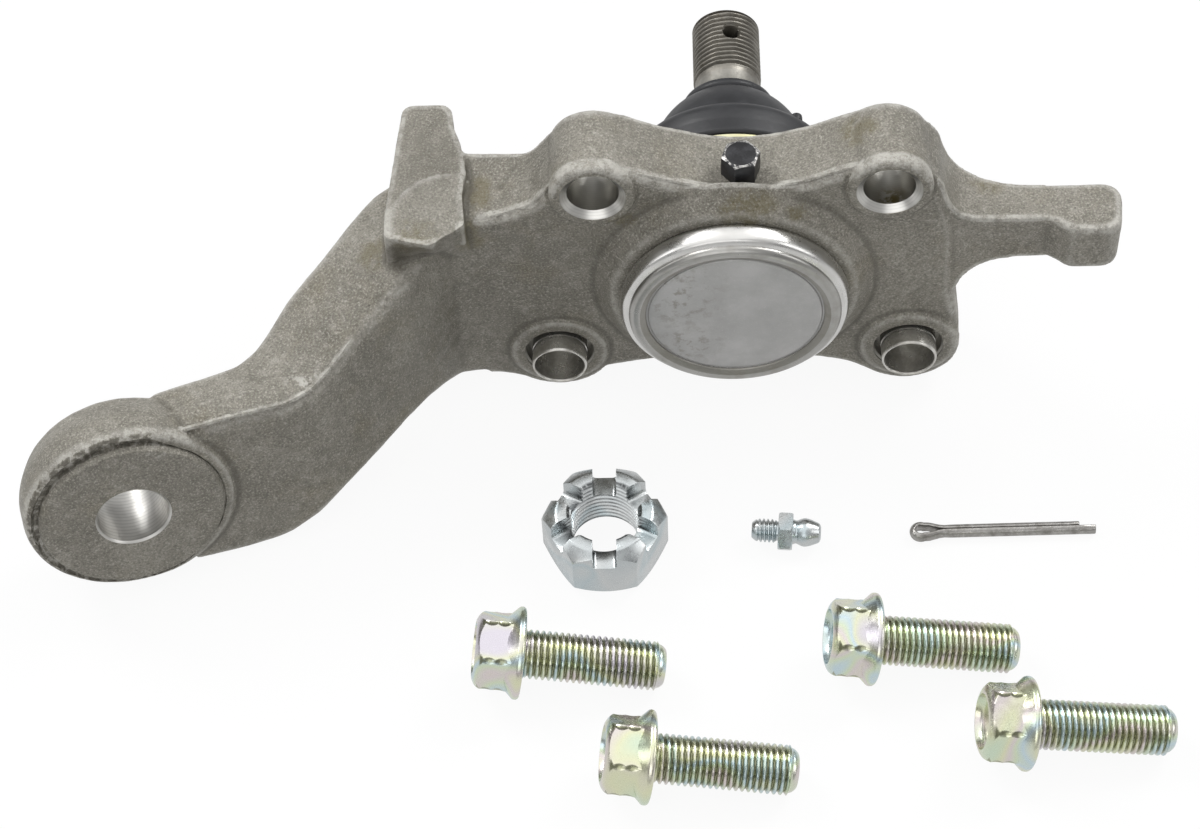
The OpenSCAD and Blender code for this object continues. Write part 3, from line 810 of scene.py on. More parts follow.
def addDetails(body):
    # crisp seats and the eye's disc
    f = forging
    upper = (f["upperLeft"], f["upperRight"])
    seat = [(0, -10.1), (7, -10.1), (8.8, -10.1), (9.8, -10.1, 0.4), (10.5, -9.3, 0.4), (10.6, -8.2),
            (10.6, -6), (0, -6)]
    crisp = [lathe("seat", seat, alongY(x, 0, z)) for x, z in upper]
    face = f["eyeFaceR"]
    disc = [(0, 0), (12, 0), (19, 0), (20.5, 0), (21.4, 0), (face - 0.25, 0, 0.4), (face + 0.3, 1.3, 0.4),
            (face + 0.45, 5), (0, 5)]
    for extra in crisp + [lathe("eyeFace", disc, eyePlace(), 128)]:
        combine(body, extra, "UNION")
    # the forging die left a shallow dish across the stop's front corner
    dish = [(r * 0.73, 27.3 + 0.11 * r) for r in range(0, 21, 2)] + [(14.8, 34), (0, 34)]
    combine(body, lathe("dieDish", dish, Matrix.Translation((*dishCentre, 0)), 160), "DIFFERENCE")
    # flash along the front top edges
    outline = cutCorners(flangeOutline, 2)
    valley = [(x, z) for x, z in outline if -21 < x < 25 and z > 25]
    lobes = (arc(*f["upperLeft"], 10.2, 150, 38, 12), arc(*f["upperRight"], 10.2, 140, 40, 12))
    ledge = [(-64.5, 23.6), (-58, 25.4), (-54, 27.1), (-50, 28.8), (-47.6, 31.2), (-44.6, 35.4)]
    rim = [(x, f["front"] + 1.7, z - 0.2) for x, z in ledge + lobes[0] + valley + lobes[1]]
    along = [(-138.4, -59.7, 8.4)] + [armFrontTop(s, 1.2, 0.15) for s in armStations[:5:-1]]
    ridges = [raggedLine("armFlash", along, 0.62, 2), raggedLine("rimFlash", rim, 0.5, 7)]
    for ridge in ridges:
        combine(body, ridge, "UNION")
    combine(body, eyeGroove(), "DIFFERENCE")


def boreCutter():
    f = forging
    rear, eyeT = f["rear"], f["eyeT"]
    socket = [(0, -45), (f["housingR"], -45), (f["housingR"], 45), (0, 45)]
    rearMouth = [(6.3, rear - 0.6), (8, rear + 1.2), (8, 30), (0, 30)]
    upperHole = [(0, -30), (10, -30), (10, -12), (7.95, -10.02), (6.3, -8.5)] + rearMouth
    lowerHole = [(0, -30), (8.9, -30), (8.9, -10), (8.45, -9.5), (8.45, -5.8), (7.02, -5.8), (7.02, -1),
                 (6.3, -1)] + rearMouth
    bore, (x, z) = f["eyeBoreR"], f["lowerRow"]
    eyeHole = [(0, -20), (bore + 6, -20), (bore + 0.6, -0.1), (bore, 0.5), (bore, eyeT - 0.9),
               (bore + 1.1, eyeT + 0.1), (bore + 6, eyeT + 20), (0, eyeT + 20)]
    cuts = [lathe("cut", socket, alongY(), 160)]
    cuts += [lathe("cut", upperHole, alongY(x, 0, z)) for x, z in (f["upperLeft"], f["upperRight"])]
    cuts += [lathe("cut", lowerHole, alongY(side * x, 0, z)) for side in (-1, 1)]
    cutter = join("bores", cuts + [lathe("cut", eyeHole, eyePlace(), 128)])
    fixNormals(cutter)
    return cutter


def makeForging():
    body, points, sharp = roughForging()
    addDetails(body)
    cutter = boreCutter()
    rearAxis = eyePlace().to_3x3() @ Vector((0, 0, 1))
    surfaces = [
        forgedSteel(),
        machinedSteel("boredSteel", (0.40, 0.39, 0.36), 0.36, (0, 1, 0), 0.7, 0.003, 0.1, (38, -7.5, 27.8)),
        machinedSteel("eyeBoreSteel", (0.58, 0.57, 0.545), 0.37, tuple(rearAxis), 1.1, 0.012, 0.3),
        machinedSteel("chamferSteel", (0.66, 0.65, 0.62), 0.3, (0, 1, 0), 0.5, 0.004, 0.2),
    ]
    body.data.materials.clear()
    for material in surfaces:
        cutter.data.materials.append(material)
        body.data.materials.append(material)
    for face in cutter.data.polygons:
        at = face.center / mm
        face.material_index = 2 if at.x < -100 else 3 if at.z > 20 and -10.2 < at.y < -8.7 else 1
    for face in body.data.polygons:
        face.material_index = 0
    combine(body, cutter, "DIFFERENCE")
    carryOver(body, "edgeWearAndShade", points, sharp)
    markWear(body)
    return fit(body, "forging", "forged_arm", 40)


makeForging()
print("forging made")

# socket housing and closing plate
turnedLook = {
    "colour": (0.62, 0.615, 0.6), "dull": (0.27, 0.262, 0.24), "stain": (0.22, 0.205, 0.175),
    "roughness": 0.23, "dullRoughness": 0.38,
}


def turnedSteel(name, colour, rough, ringDepth, blotch):
    m = Nodes(name)
    rings = m.noise(0.16, 2, 0.5, m.radial())
    wide = m.noise(0.9, 3, 0.6, m.radial(0.1))
    cloud = m.noise(7, 5, 0.65)
    tone = m.mix(m.step(cloud, 0.42, 0.75, 0.0, blotch), colour, turnedLook["stain"])
    tone = m.mix(m.step(wide, 0.4, 0.7, 0.0, 0.15), tone, scaled(colour, 1.25))
    tone = m.mix(m.step(m.spots(3.1), 0.06, 0.03, 0.0, 0.5), tone, turnedLook["stain"])
    normal = m.bump(m.plus(rings, m.times(wide, 0.6)), ringDepth)
    return m.done(tone, m.step(cloud, 0.35, 0.7, rough, rough + 0.12), 1.0, normal)


def satinPlate():
    m = Nodes("satinPlate")
    fleck = m.noise(0.5, 3, 0.7)
    stain = m.times(m.near((-12, -20, -11), 13), m.step(m.noise(2.2, 4, 0.7), 0.48, 0.66))
    grime = m.times(m.near((-13, -20, 8), 15, (1, 1, 0.7)), m.step(m.noise(3.2, 4, 0.7), 0.5, 0.64))
    colour = m.mix(m.step(m.noise(11, 5, 0.6), 0.35, 0.7), (0.375, 0.372, 0.365), (0.45, 0.446, 0.44))
    colour = m.mix(m.step(fleck, 0.55, 0.75, 0.0, 0.35), colour, (0.66, 0.655, 0.65))
    colour = m.mix(m.times(m.math("MAXIMUM", stain, grime), 0.6), colour, (0.2, 0.185, 0.15))
    return m.done(colour, m.step(m.noise(5, 4, 0.6), 0.3, 0.7, 0.36, 0.5), 0.8, m.bump(fleck, 0.02))


brightTurned = turnedSteel("brightTurned", turnedLook["colour"], turnedLook["roughness"], 0.004, 0.12)
dullTurned = turnedSteel("dullTurned", turnedLook["dull"], turnedLook["dullRoughness"], 0.02, 0.7)
lipTurned = turnedSteel("lipTurned", (0.37, 0.365, 0.35), 0.27, 0.012, 0.45)

housing = {"shoulderR": 28.3, "lipR": 26.15, "lipY": -20.9, "bandR": 23.4, "plateR": 22.0}


def makeHousing():
    h = housing
    profile = [
        (21.95, -19.75), (h["plateR"] + 0.1, -20.1, 0.2), (h["bandR"] - 0.2, -20.7, 0.5),
        (h["bandR"] + 0.5, h["lipY"], 0.7), (h["lipR"] - 0.9, h["lipY"] + 0.05, 0.9),
        (h["lipR"], h["lipY"] + 1.0, 0.4),
        (h["lipR"] + 0.02, -19.25, 0.15), (h["lipR"] + 0.35, -19.15, 0.3), (h["shoulderR"] - 0.5, -18.6, 1.5),
        (h["shoulderR"], -16.6, 1.6), (h["shoulderR"], -14.6, 0.6), (27.5, -13.6, 0.2), (26, -13.6, 0.1),
        (26, 11, 0.1), (24.5, 11, 0.1), (24.5, 17.8, 0.3), (18.2, 17.8, 0.3), (13.4, 9.6, 0.2), (16.2, 9.6, 0.2),
        (20.5, 5, 0.4), (20.5, -17.2), (21.95, -17.2),
    ]
    body = lathe("housing", profile, alongY(), 192, closed=True)

    def choose(centre, normal):
        r = math.hypot(centre.x, centre.z)
        if centre.y < -19.5 and r < h["bandR"] + 0.1:
            return 2
        return 1 if centre.y < -19.2 and r < h["lipR"] + 0.1 else 0

    finishes = [brightTurned, lipTurned, dullTurned]
    return fit(body, "forging", "socket_housing", 50, finishes, choose)


def makePlate():
    profile = [(0, -20), (20.7, -20, 0.2), (21.3, -19.92, 0.15), (21.55, -19.5, 0.1), (21.75, -19.5, 0.1),
               (21.8, -19.6), (23.3, -19.6), (23.4, -17.3), (0, -17.3)]
    plate = lathe("plate", profile, alongY(), 192)
    return fit(plate, "forging", "closing_plate", 40, [satinPlate()])


makeHousing()
makePlate()
print("socket made")

# stud
stud = {
    "ballR": 14.5, "neckR": 8.0, "taperR": 10.7, "shankR": 8.25, "threadR": 8.85, "threadStart": 55.5,
    "end": 76.0, "pitch": 1.5, "depth": 0.85, "holeR": 2.15, "holeY": 67.6, "holeTurn": 9.0,
}


def studSteel(name, colour, rough):
    def rustAndRootShade(m, fine, tone):
        tone = m.mix(m.step(m.noise(3, 4, 0.7), 0.54, 0.74, 0.0, 0.5), tone, (0.105, 0.088, 0.062))
        # painted shade: the thread's grooves are darker by their depth
        return m.mix(m.step(m.attribute("groove"), 0.3, 0.95, 0.0, 0.45), tone, scaled(colour, 0.45))
    return mottled(name, (5, 5, 0.65), (0.35, 0.7), (colour, scaled(colour, 0.7)), (rough, rough + 0.15), 0.8,
                   (0.2, 2, 0.5), 0.012, True, rustAndRootShade)


def makeStud():
    s = stud
    end, threadR, first, last = s["end"], s["threadR"], s["threadStart"], s["end"] - 1.2
    flat, neck = math.degrees(math.asin(4.5 / s["ballR"])), math.degrees(math.acos(s["neckR"] / s["ballR"]))
    ball = arc(0, 0, s["ballR"], flat - 90, neck, 32)
    profile = [(0, ball[0][1])] + ball
    profile += [(s["neckR"], 18.6, 2), (s["taperR"], 26.6, 1), (s["shankR"], 50.5, 1), (s["shankR"], 54.6)]
    profile += [(threadR, y) for y in steps(first, last, s["pitch"], 10)]
    profile += [(threadR - 0.9, end - 0.7), (threadR - 1.7, end - 0.05), (threadR - 2.2, end), (2.0, end),
                (1.3, end - 0.6), (0, end - 1.6)]
    body = lathe("stud", profile, alongY(), wave=threadWave(first, last, s["pitch"], s["depth"], 1.2))
    half = [(0, -20), (3.4, -20), (3.4, -9.6), (s["holeR"], -8.1)]
    place = Matrix.Translation((0, s["holeY"], 0)) @ spin(s["holeTurn"], "Y")
    hole = lathe("hole", half + [(s["holeR"], 8.1), (3.4, 9.6), (3.4, 20), (0, 20)], place, 48)
    finishes = [studSteel(*look) for look in (
        ("studThread", (0.235, 0.222, 0.196), 0.36), ("studGround", (0.27, 0.26, 0.235), 0.42),
        ("studHole", (0.16, 0.148, 0.124), 0.42),
    )]
    paint(body, finishes, lambda c, n: 1 if c.y < first - 0.8 else 0)
    paint(hole, finishes, lambda c, n: 2)
    combine(body, hole, "DIFFERENCE")
    # how deep each point sits in the thread's groove, for the painted shade there
    at = pointsOf(body.data) / mm
    depth = (threadR - np.hypot(at[:, 0], at[:, 2])) / s["depth"]
    setValues(body.data, "groove", np.where(between(at[:, 1], first, last), np.clip(depth, 0, 1), 0))
    return fit(body, "stud", "ball_stud", 45)


makeStud()
print("stud made")

# boot
boot = {
    "skirtR": 27.3, "skirtY": 18.2, "edgeY": 16.2, "stepR": 24.8, "domeR": 20.5, "domeY": 28.7, "neckY": 48.2,
    "neckR": 9.35, "wall": 1.8, "bendStart": 3.0, "bendEnd": 44.5,
}


def bootRubber():
    def dust(m, fine, colour):
        return m.mix(m.step(m.spots(5.5), 0.05, 0.02, 0.0, 0.6), colour, (0.26, 0.25, 0.24))
    return mottled("bootRubber", (6, 5, 0.65), (0.4, 0.75), ((0.0085, 0.009, 0.011), (0.02, 0.021, 0.024)),
                   (0.42, 0.56), 0.0, (0.45, 3, 0.6), 0.03, over=dust)


def makeBoot():
    b = boot
    r, y0, edge, dome, wall = b["skirtR"], b["skirtY"], b["edgeY"], b["domeR"], b["wall"]
    outer = [(r - 3.4, y0), (b["stepR"], y0), (b["stepR"], edge), (r - 0.7, edge, 0.3), (r, edge + 0.9, 0.5),
             (r - 0.1, y0 + 2.6, 0.3), (r, y0 + 3.6, 0.4),
             (r, y0 + 6.4, 1.4), (r - 1.2, y0 + 8.6, 1.4), (r - 3.2, y0 + 9.9, 1.2), (dome + 1.7, y0 + 10.3, 0.5),
             (dome + 1.15, y0 + 10.35, 0.15), (dome + 0.9, y0 + 11.2, 0.5), (dome + 0.25, y0 + 12.6, 0.8)]
    outer += arc(0, b["domeY"], dome, 8, 56, 14)
    outer += [(12.2, 46.6, 0.6), (11.9, b["neckY"], 0.5), (b["neckR"], b["neckY"], 0.3),
              (b["neckR"] + 0.3, 43.6, 0.3), (12.6, 43.8, 0.3)]
    inner = arc(0, b["domeY"], dome - wall, 50, 2, 12)
    inner += [(dome - wall + 0.6, y0 + 8, 0.5), (r - 3.4, y0 + 6.4, 0.5)]
    body = lathe("boot", outer + inner, alongY(), 144, closed=True)
    # a small moulding tab at the skirt
    tab = lathe("tab", [(0, -1.2), (1.5, -1.2, 0.4), (1.5, 1.0, 0.6), (0, 1.1)],
                alongY(16.5, y0 + 9.3, 18.6), 20)
    combine(body, tab, "UNION")
    paint(body, [bootRubber()])
    smoothShade(body, 40)
    body.name = "dust_boot_look"
    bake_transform(body)
    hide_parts("dust_boot")
    return body


makeBoot()
print("boot made")


# plated finishes


def zincPlate(name, stops, rough, size, frost, root=None):
    # thin passivated zinc, whose tint drifts over the surface; root is the colour of the painted shade in the
    # thread's grooves
    m = Nodes(name)
    shift = m.add("ObjectInfo").outputs["Random"]
    where = m.vector("ADD", m.place, m.add("CombineXYZ", {0: shift, 1: shift}).outputs[0])[0]
    colour = m.ramp(m.step(m.noise(size, 1, 0.4, where, 0.3), 0.26, 0.74), stops)
    cloud = m.noise(2.2, 4, 0.65, where)
    colour = m.mix(m.step(cloud, 0.5, 0.8, 0.0, frost), colour, (0.86, 0.87, 0.86))
    # painted shade in the thread's grooves, by their depth
    if root:
        colour = m.mix(m.step(m.attribute("groove"), 0.25, 0.95, 0.0, 0.9), colour, root)
    normal = m.bump(m.plus(m.noise(0.35, 3, 0.6), m.times(cloud, 2.0)), 0.012)
    return m.done(colour, m.step(cloud, 0.3, 0.75, rough, rough + 0.14), 0.95, normal)


# place along the ramp, tint
yellowStops = [
    (0.0, (0.56, 0.67, 0.53)), (0.2, (0.66, 0.67, 0.47)), (0.4, (0.65, 0.59, 0.585)), (0.55, (0.60, 0.67, 0.50)),
    (0.72, (0.52, 0.63, 0.68)), (0.86, (0.66, 0.67, 0.49)), (1.0, (0.60, 0.57, 0.625)),
]
brightStops = [
    (0.0, (0.47, 0.50, 0.51)), (0.45, (0.54, 0.555, 0.555)), (0.7, (0.45, 0.51, 0.53)),
    (1.0, (0.55, 0.56, 0.555)),
]
ringStops = [(0.0, (0.70, 0.66, 0.36)), (0.5, (0.76, 0.74, 0.50)), (1.0, (0.68, 0.64, 0.38))]
yellowZinc = zincPlate("yellowZinc", yellowStops, 0.2, 17, 0.12, (0.25, 0.26, 0.155))
brightZinc = zincPlate("brightZinc", brightStops, 0.22, 16, 0.1, (0.12, 0.125, 0.13))


def blackOxide(edges=False):
    def bareMetal(m, fine, colour):
        worn = m.step(m.noise(1.1, 4, 0.7), 0.42, 0.62) if edges else 0.0
        return m.mix(worn, colour, (0.55, 0.54, 0.52))
    return mottled("blackOxideWorn" if edges else "blackOxide", (2.5, 4, 0.7), (0.4, 0.7),
                   ((0.018, 0.018, 0.02), (0.04, 0.04, 0.044)), (0.33, 0.5), 0.5, (0.5, 3), 0.03, over=bareMetal)


def plainWire():
    def scratches(m, fine, colour):
        return m.mix(m.step(fine, 0.55, 0.75, 0.0, 0.5), colour, (0.62, 0.61, 0.59))
    return mottled("plainWire", (2.5, 4, 0.65), (0.35, 0.7), ((0.36, 0.35, 0.335), (0.22, 0.21, 0.195)),
                   (0.26, 0.42), 0.9, (0.5, 3, 0.6), 0.03, over=scratches)


# plug and sleeves
plug = {"place": (1.6, -2.2, 33.3), "flats": 8.4, "height": 6.7, "turn": 12.0}


def hexagonPrism(name, flats, low, high, place, turn=0.0):
    r, angles = flats / 2 / math.cos(rad(30)), [rad(60 * k + turn) for k in range(6)]
    outline = [(r * math.cos(a), r * math.sin(a)) for a in angles]
    return prism(name, outline, low, high, place)


def makePlug():
    p = plug
    place, h, half = Matrix.Translation(p["place"]), p["height"], p["flats"] / 2
    head = hexagonPrism("plug", p["flats"], -0.6, h, place, p["turn"])
    limit = [(0, -1), (6, -1), (6, h - 1.3), (half + 0.15, h - 0.25), (half - 0.5, h), (0, h)]
    combine(head, lathe("limit", limit, place), "INTERSECT")
    shank = lathe("shank", [(0, -9.3), (2.95, -9.3, 0.5), (2.95, 0), (0, 0)], place, 48)
    combine(head, shank, "UNION")
    roundEdges(head, 0.24, 2, 20)
    flats = [rad(p["turn"] + 30 + 60 * k) for k in range(6)]
    sides = [Vector((math.cos(a), math.sin(a), 0)) for a in flats] + [Vector((0, 0, 1)), Vector((0, 0, -1))]

    def choose(centre, normal):
        # worn on the rounded edges alone
        onFlat = max(normal.dot(side) for side in sides) > 0.985
        return 0 if centre.z < p["place"][2] + 0.4 or onFlat else 1

    return fit(head, "forging", "grease_plug", 32, [blackOxide(), blackOxide(True)], choose)


sleeve = {"front": -14.7, "groove": -10.4, "back": -1.02, "outer": 7.0, "inner": 6.2}


def makeSleeves():
    s = sleeve
    r, groove, inner = s["outer"], s["groove"], s["inner"]
    material = mottled("sleeveSteel", (3.5, 4, 0.65), (0.35, 0.7), ((0.62, 0.61, 0.58), (0.42, 0.405, 0.37)),
                       (0.24, 0.4), 0.9, (0.22, 2, 0.5), 0.012, True)
    profile = [
        (inner + 0.25, s["front"], 0.2), (r - 0.25, s["front"], 0.2), (r, s["front"] + 0.6, 0.2), (r, groove),
        (r - 0.3, groove + 0.1), (r - 0.3, groove + 0.5), (r, groove + 0.6), (r, s["back"]), (inner, s["back"]),
        (inner, s["front"] + 0.5, 0.2),
    ]
    x, z = forging["lowerRow"]
    for side, node in ((-1, "dowel_sleeve_left"), (1, "dowel_sleeve_right")):
        ring = lathe(node, profile, alongY(side * x, 0, z), closed=True)
        fit(ring, "forging", node, 40, [material])


makePlug()
makeSleeves()
print("plug and sleeves made")

# castle nut
nut = {
    "place": (-33.2, -59.8, floorZ), "flats": 27.0, "height": 16.0, "boreR": 8.2, "threadR": 9.0, "pitch": 1.5,
    "slot": 5.9, "slotFloor": 10.6,
}


def makeNut():
    n = nut
    h, boreR, threadR = n["height"], n["boreR"], n["threadR"]
    place = Matrix.Translation(n["place"])
    body = hexagonPrism("nut", n["flats"], 0, h, place)
    shape = [(0, 0), (13.2, 0, 0.3), (15.75, 2.45, 0.5), (15.75, h - 3.2, 0.8), (13.9, h - 1.5, 0.6),
             (12.0, h, 0.5), (0, h)]
    combine(body, lathe("nutShape", shape, place, 128), "INTERSECT")
    # the outline of a slot, which stands in the plane across it
    w, low = n["slot"] / 2, n["slotFloor"] + 1.0
    slot = [(-w, 20), (-w, low)] + arc(-w + 1.0, low, 1.0, 180, 270, 4)
    slot += arc(w - 1.0, low, 1.0, 270, 360, 4) + [(w, 20)]
    for k in range(3):
        across = place @ spin(60 * k + 90, "Z") @ acrossX
        combine(body, prism("slot", slot, -22, 22, across), "DIFFERENCE")
    bore = [(0, -3), (9.3, -3), (9.3, -0.1), (boreR + 0.1, 0.9), (boreR + 0.1, h - 1.1), (9.5, h + 0.1),
            (9.5, h + 3), (0, h + 3)]
    combine(body, lathe("bore", bore, place), "DIFFERENCE")
    roundEdges(body, 0.28, 2, 35)
    rows = [(threadR, z) for z in steps(0.4, h - 0.4, n["pitch"], 10)]
    tap = [(0, 0.2), (boreR, 0.3)] + rows + [(boreR, h - 0.3), (0, h - 0.2)]
    wave = threadWave(0.4, h - 0.4, n["pitch"], threadR - boreR + 0.05, 0.8, 0.8)
    combine(body, lathe("tap", tap, place, wave=wave), "DIFFERENCE")
    # how deep each point sits in the tapped thread, for the painted shade in its grooves
    at = pointsOf(body.data) / mm - np.array(n["place"])
    r = np.hypot(at[:, 0], at[:, 1])
    setValues(body.data, "groove", np.where(r < threadR + 0.05, np.clip((r - boreR) / 0.8, 0, 1), 0))
    return fit(body, "nut", "castle_nut", 33, [brightZinc])


makeNut()
print("nut made")

# split pin
pin = {"place": (44.7, -58.3, floorZ + 1.65), "turn": 0.6, "r": 1.6, "short": 40.0, "long": 44.0}


def makePin():
    p = pin
    place = Matrix.Translation(p["place"]) @ spin(p["turn"], "Z")
    # inner edge of the wire: in along one leg, round the eye and out along the other
    path = [(p["short"] - i * 2.0, 0.06, 0) for i in range(17)]
    path += [(6.4, 0.1, 0), (5.0, 0.3, 0), (3.8, 0.66, 0), (2.6, 1.0, 0)]
    path += [(0.6 + 1.3 * math.cos(rad(a)), 1.24 * math.sin(rad(a)), 0) for a in range(60, 301, 15)]
    path += [(2.6, -1.0, 0), (3.8, -0.66, 0), (5.0, -0.3, 0), (6.4, -0.1, 0)]
    path += [(p["short"] - i * 2.0, -0.06, 0) for i in range(16, -1, -1)] + [(p["long"], -0.06, 0)]
    # half of the wire's section, a little flatter round the eye
    r, sections = p["r"], []
    for i in range(len(path)):
        deep = r * (0.9 if 17 <= i <= 41 else 1.0)
        rim = [(deep * math.sin(rad(a)), -r * math.cos(rad(a))) for a in range(12, 169, 12)]
        sections.append([(0.0, -r * 0.9)] + rim + [(0.0, r * 0.9)])
    body = sweep("pin", path, sections, place)
    fixNormals(body)
    roundEdges(body, 0.1, 1, 50)
    return fit(body, "split_pin", "cotter_pin", 45, [plainWire()])


makePin()
print("split pin made")

# grease fitting
fitting = {
    "place": (3.2, -58.6, floorZ + 4.5), "yaw": -4.8, "roll": 30.0, "flats": 9.0, "threadR": 2.95,
    "pitch": 1.05,
}


def makeFitting():
    g = fitting
    place = (Matrix.Translation(g["place"]) @ spin(g["yaw"], "Z")
             @ spin(g["roll"], "X") @ spin(90, "Y"))
    body = hexagonPrism("fitting", g["flats"], 6.6, 10.2, place)
    limit = [(0, 5), (3.6, 5), (4.4, 6.6), (5.2, 7.2), (5.2, 9.6), (4.4, 10.2), (3.6, 11), (0, 11)]
    combine(body, lathe("limit", limit, place), "INTERSECT")
    roundEdges(body, 0.12, 2, 30)
    rows = [(g["threadR"], z) for z in steps(1.0, 6.0, g["pitch"], 10)]
    shank = [(0, 0), (1.9, 0, 0.2), (2.5, 0.8)] + rows + [(2.4, 6.2), (2.4, 7.5), (0, 7.5)]
    wave = threadWave(1.0, 6.0, g["pitch"], 0.62, 1.0, 0.4)
    combine(body, lathe("shank", shank, place, 64, wave=wave), "UNION")
    head = [(0, 9), (3.1, 9), (3.1, 10.4, 0.2), (2.8, 11.1, 0.4), (3.4, 12.3, 0.5), (3.6, 13.2, 0.5),
            (3.3, 14.6, 0.5), (2.4, 16.8, 0.3), (1.5, 17.2, 0.15), (0.8, 17.2, 0.1), (0.75, 16.4), (0, 16.4)]
    combine(body, lathe("head", head, place), "UNION")
    ways = [(0, -2), (1, -2), (1, 5.1), (1.3, 5.1), (1.3, 15.4), (0.75, 15.45), (0.75, 19), (0, 19)]
    combine(body, lathe("ways", ways, place, 48), "DIFFERENCE")
    return fit(body, "fitting", "grease_fitting", 35, [brightZinc])


makeFitting()
print("fitting made")

# flange bolts
bolt = {
    # x, y and direction on the floor
    "places": [(-64.5, -96.9, -1.9), (-33.8, -125.9, -1.9), (20.2, -95.1, -0.1), (55.0, -119.1, 1.0)],
    "axisHeight": 12.85, "lean": 9.15, "hexTurn": -13.3, "flats": 17.0, "head": 11.6, "flangeR": 11.2,
    "threadR": 5.95, "length": 34.5, "pitch": 1.5, "depth": 0.8,
}


def boltHead():
    b = bolt
    head, flangeR, still = b["head"], b["flangeR"], Matrix.Identity(4)
    body = hexagonPrism("boltHead", b["flats"], 0, head - 1.5, still, b["hexTurn"])
    roundEdges(body, 0.5, 3)
    limit = [(0, 0), (7.1, 0, 0.4), (8.5, 0.7, 0.8), (9.8, 2.3, 0.8), (9.9, head), (0, head)]
    combine(body, lathe("limit", limit, still, 128), "INTERSECT")
    # the corners didn't quite fill when the head was forged
    corner, angles = b["flats"] / 2 / math.cos(rad(30)), [rad(60 * k + b["hexTurn"]) for k in range(6)]
    for along, size in ((3.3, 4.4), (6.3, 4.0)):
        ball = [(0, -size)] + arc(0, 0, size, -80, 80, 16) + [(0, size)]
        far, dents = corner + size - 0.62, []
        for a in angles:
            place = Matrix.Translation((far * math.cos(a), far * math.sin(a), along))
            dents.append(lathe("dent", ball, place @ Matrix.Diagonal((1, 1, 0.9, 1)), 40))
        combine(body, join("dents", dents), "DIFFERENCE")
    flange = [(0, head - 6), (7.6, head - 5.2), (8.2, head - 4.5, 0.8), (flangeR - 0.7, head - 2.1, 0.5),
              (flangeR, head - 1.4, 0.4), (flangeR, head - 0.5, 0.3), (flangeR - 0.4, head, 0.2), (0, head)]
    return combine(body, lathe("flange", flange, still, 128), "UNION")


def makeBolts():
    b, body = bolt, boltHead()
    head, threadR, still = b["head"], b["threadR"], Matrix.Identity(4)
    end = head + b["length"]
    first, last = head + 0.6, end - 2.2
    rows = [(threadR, z) for z in steps(first, last, b["pitch"], 8)]
    rod = [(0, head - 1), (threadR - 0.6, head - 1), (threadR - 0.6, head + 0.4)] + rows
    rod += [(5.35, end - 1.9, 0.3), (5.1, end - 1.0, 0.5), (4.2, end - 0.05, 0.4), (3.6, end), (0, end)]
    wave = threadWave(first, last, b["pitch"], b["depth"], 1.2, 0.8)
    combine(body, lathe("rod", rod, still, 80, wave=wave), "UNION")
    dish = [(0, -2), (6.7, -2), (6.6, 0.1), (6.0, 1.5, 0.5), (5.2, 1.9, 0.4), (0, 2.2)]
    combine(body, lathe("dish", dish, still), "DIFFERENCE")
    # how deep each point sits in the thread's groove, for the painted shade there
    at = pointsOf(body.data) / mm
    depth = (threadR - np.hypot(at[:, 0], at[:, 1])) / b["depth"]
    groove = np.where(between(at[:, 2], first, last), np.clip(depth, 0, 1), 0)
    # the dents at the corners are painted darker inside, with the same painted shade as the thread's grooves
    normals = [rad(60 * k + 30 + b["hexTurn"]) for k in range(6)]
    sunk = b["flats"] / 2 - np.max([at[:, 0] * math.cos(a) + at[:, 1] * math.sin(a) for a in normals], 0)
    inDent = between(at[:, 2], 1.2, 8.4) & (np.hypot(at[:, 0], at[:, 1]) > 8.6)
    setValues(body.data, "groove", np.where(inDent, np.clip(sunk / 0.12, 0, 0.85), groove))
    paint(body, [yellowZinc])
    smoothShade(body, 33)
    toMetres = Matrix.Scale(mm, 4)
    for i, (x, y, yaw) in enumerate(b["places"], 1):
        copy = bpy.data.objects.new("bolt%d" % i, body.data.copy())
        scene.collection.objects.link(copy)
        place = (Matrix.Translation((x, y, floorZ + b["axisHeight"])) @ spin(yaw, "Z")
                 @ spin(b["lean"], "Y") @ spin(90, "Y"))
        copy.data.transform(toMetres @ place @ toMetres.inverted())
        fit(copy, "bolt_%d" % i, "flange_bolt_%d" % i)
    bpy.data.objects.remove(body)


makeBolts()
print("bolts made")

# the pieces that stay as they are in the frame
ringZinc = zincPlate("ringZinc", ringStops, 0.3, 8, 0.1)
wire = plainWire()
spring = mottled("springSteel", (3, 4, 0.6), (0.3, 0.7), ((0.12, 0.12, 0.125), (0.24, 0.235, 0.23)), (0.3, 0.45),
                 0.9, (0.5, 3), 0.02)
plastic = mottled("bearingResin", (8, 3, 0.6), (0.3, 0.7), ((0.72, 0.68, 0.55), (0.8, 0.77, 0.66)), 0.5, 0.0,
                  (0.8, 3), 0.02)
kept = {
    "boot_base_ring": ringZinc, "boot_neck_ring": spring, "preload_spring": spring, "fitting_spring": spring,
    "fitting_check_ball": wire, "upper_bearing_seat": plastic, "lower_bearing_seat": plastic,
}
for node, material in kept.items():
    mesh = nodes[node].data
    if mesh.materials:
        for i in range(len(mesh.materials)):
            mesh.materials[i] = material
    else:
        mesh.materials.append(material)
    smoothShade(nodes[node], 35)
print("kept pieces finished")


# floor and light
studio = {
    "world": 0.24, "shineLow": 0.22, "shineHigh": 0.62, "floorShare": 0.9, "floorWhite": 1.028,
    "floorShine": 0.9, "floorSide": 4000,
}
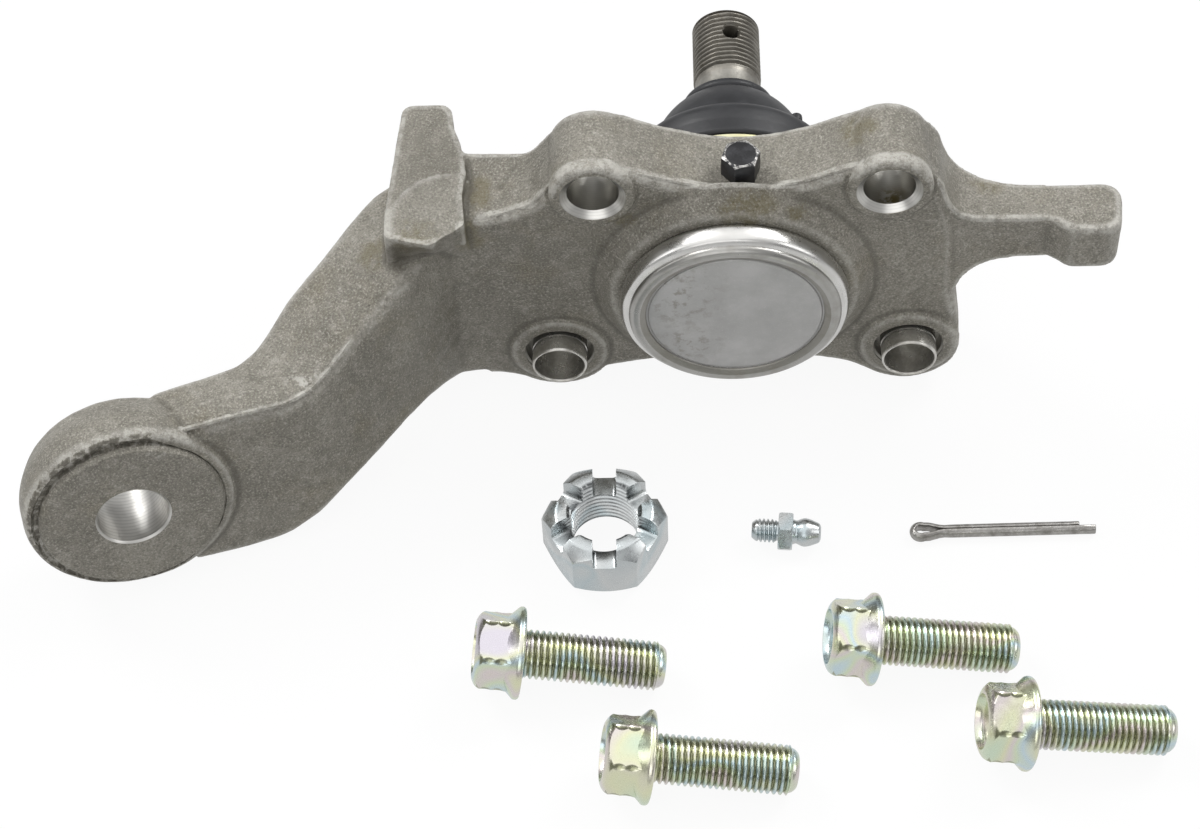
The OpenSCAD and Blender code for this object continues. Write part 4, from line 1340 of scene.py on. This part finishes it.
# name: place, aim, width, height, watts
lamps = {
    "top": ((-150, 0, 1250), (-120, -20, 0), 2300, 1500, 8.6),
    "front": ((-250, -1100, 600), (-20, -30, 0), 1100, 560, 2.8),
    "right": ((1000, -300, 600), (0, -40, 0), 600, 600, 2.2),
    "left": ((-1050, -150, 500), (-60, -40, 0), 400, 700, 1.6),
    "backLeft": ((-850, 600, 950), (-40, -30, 0), 600, 600, 9.5),
    "backRight": ((800, 650, 950), (0, -30, 0), 600, 600, 9.5),
}


def paleFloor():
    # white to the camera, with the part's soft shadow; polished metal sees it as pale grey
    m = Nodes("paleFloor", bpy.data.materials.new("paleFloor"))
    rays = m.add("LightPath").outputs
    toCamera = rays["Is Camera Ray"]
    flat = m.add("BsdfDiffuse", {"Color": (0.62, 0.62, 0.62)}).outputs[0]
    share = m.times(m.math("MAXIMUM", toCamera, rays["Is Glossy Ray"]), studio["floorShare"])
    ends = {"To Min": studio["floorShine"], "To Max": studio["floorWhite"]}
    level = m.add("MapRange", {"Value": toCamera, **ends}).outputs[0]
    glow = m.add("Emission", {"Color": (1, 1, 1), "Strength": level}).outputs[0]
    m.add("OutputMaterial", {"Surface": m.add("MixShader", {0: share, 1: flat, 2: glow}).outputs[0]})
    return m.owner


def paleWorld():
    # white to the camera and dim on the part; shiny metal sees a pale room that is brighter overhead
    w = Nodes("studioWorld", bpy.data.worlds.new("studioWorld"))
    rays = w.add("LightPath").outputs
    height = w.add("SeparateXYZ", {0: w.add("TexCoord").outputs["Generated"]}).outputs["Z"]
    rise = w.add("MapRange", {
        "Value": height, "From Min": -0.05, "From Max": 0.85, "To Min": studio["shineLow"],
        "To Max": studio["shineHigh"],
    })
    dim, shine, white = [w.add("Background", {"Color": (1, 1, 1), "Strength": level}).outputs[0]
                         for level in (studio["world"], rise.outputs[0], 1.0)]
    inRoom = w.add("MixShader", {0: rays["Is Glossy Ray"], 1: dim, 2: shine}).outputs[0]
    seen = w.add("MixShader", {0: rays["Is Camera Ray"], 1: inRoom, 2: white}).outputs[0]
    w.add("OutputWorld", {"Surface": seen})
    return w.owner


side = studio["floorSide"]
corners = [(x, y, floorZ) for x, y in ((-side, -side), (side, -side), (side, side), (-side, side))]
floor = newObject("floor", corners, [(0, 1, 2, 3)])
floor.data.materials.append(paleFloor())
scene.world = paleWorld()
for name, (place, aim, width, height, watts) in lamps.items():
    light = bpy.data.lights.new(name + "Light", "AREA")
    light.shape = "RECTANGLE"
    light.size = width * mm
    light.size_y = height * mm
    light.energy = watts
    lamp = bpy.data.objects.new(name + "Light", light)
    scene.collection.objects.link(lamp)
    lamp.location = Vector(place) * mm
    lamp.rotation_euler = (Vector(aim) - Vector(place)).to_track_quat("-Z", "Y").to_euler()
print("floor and lights in place")
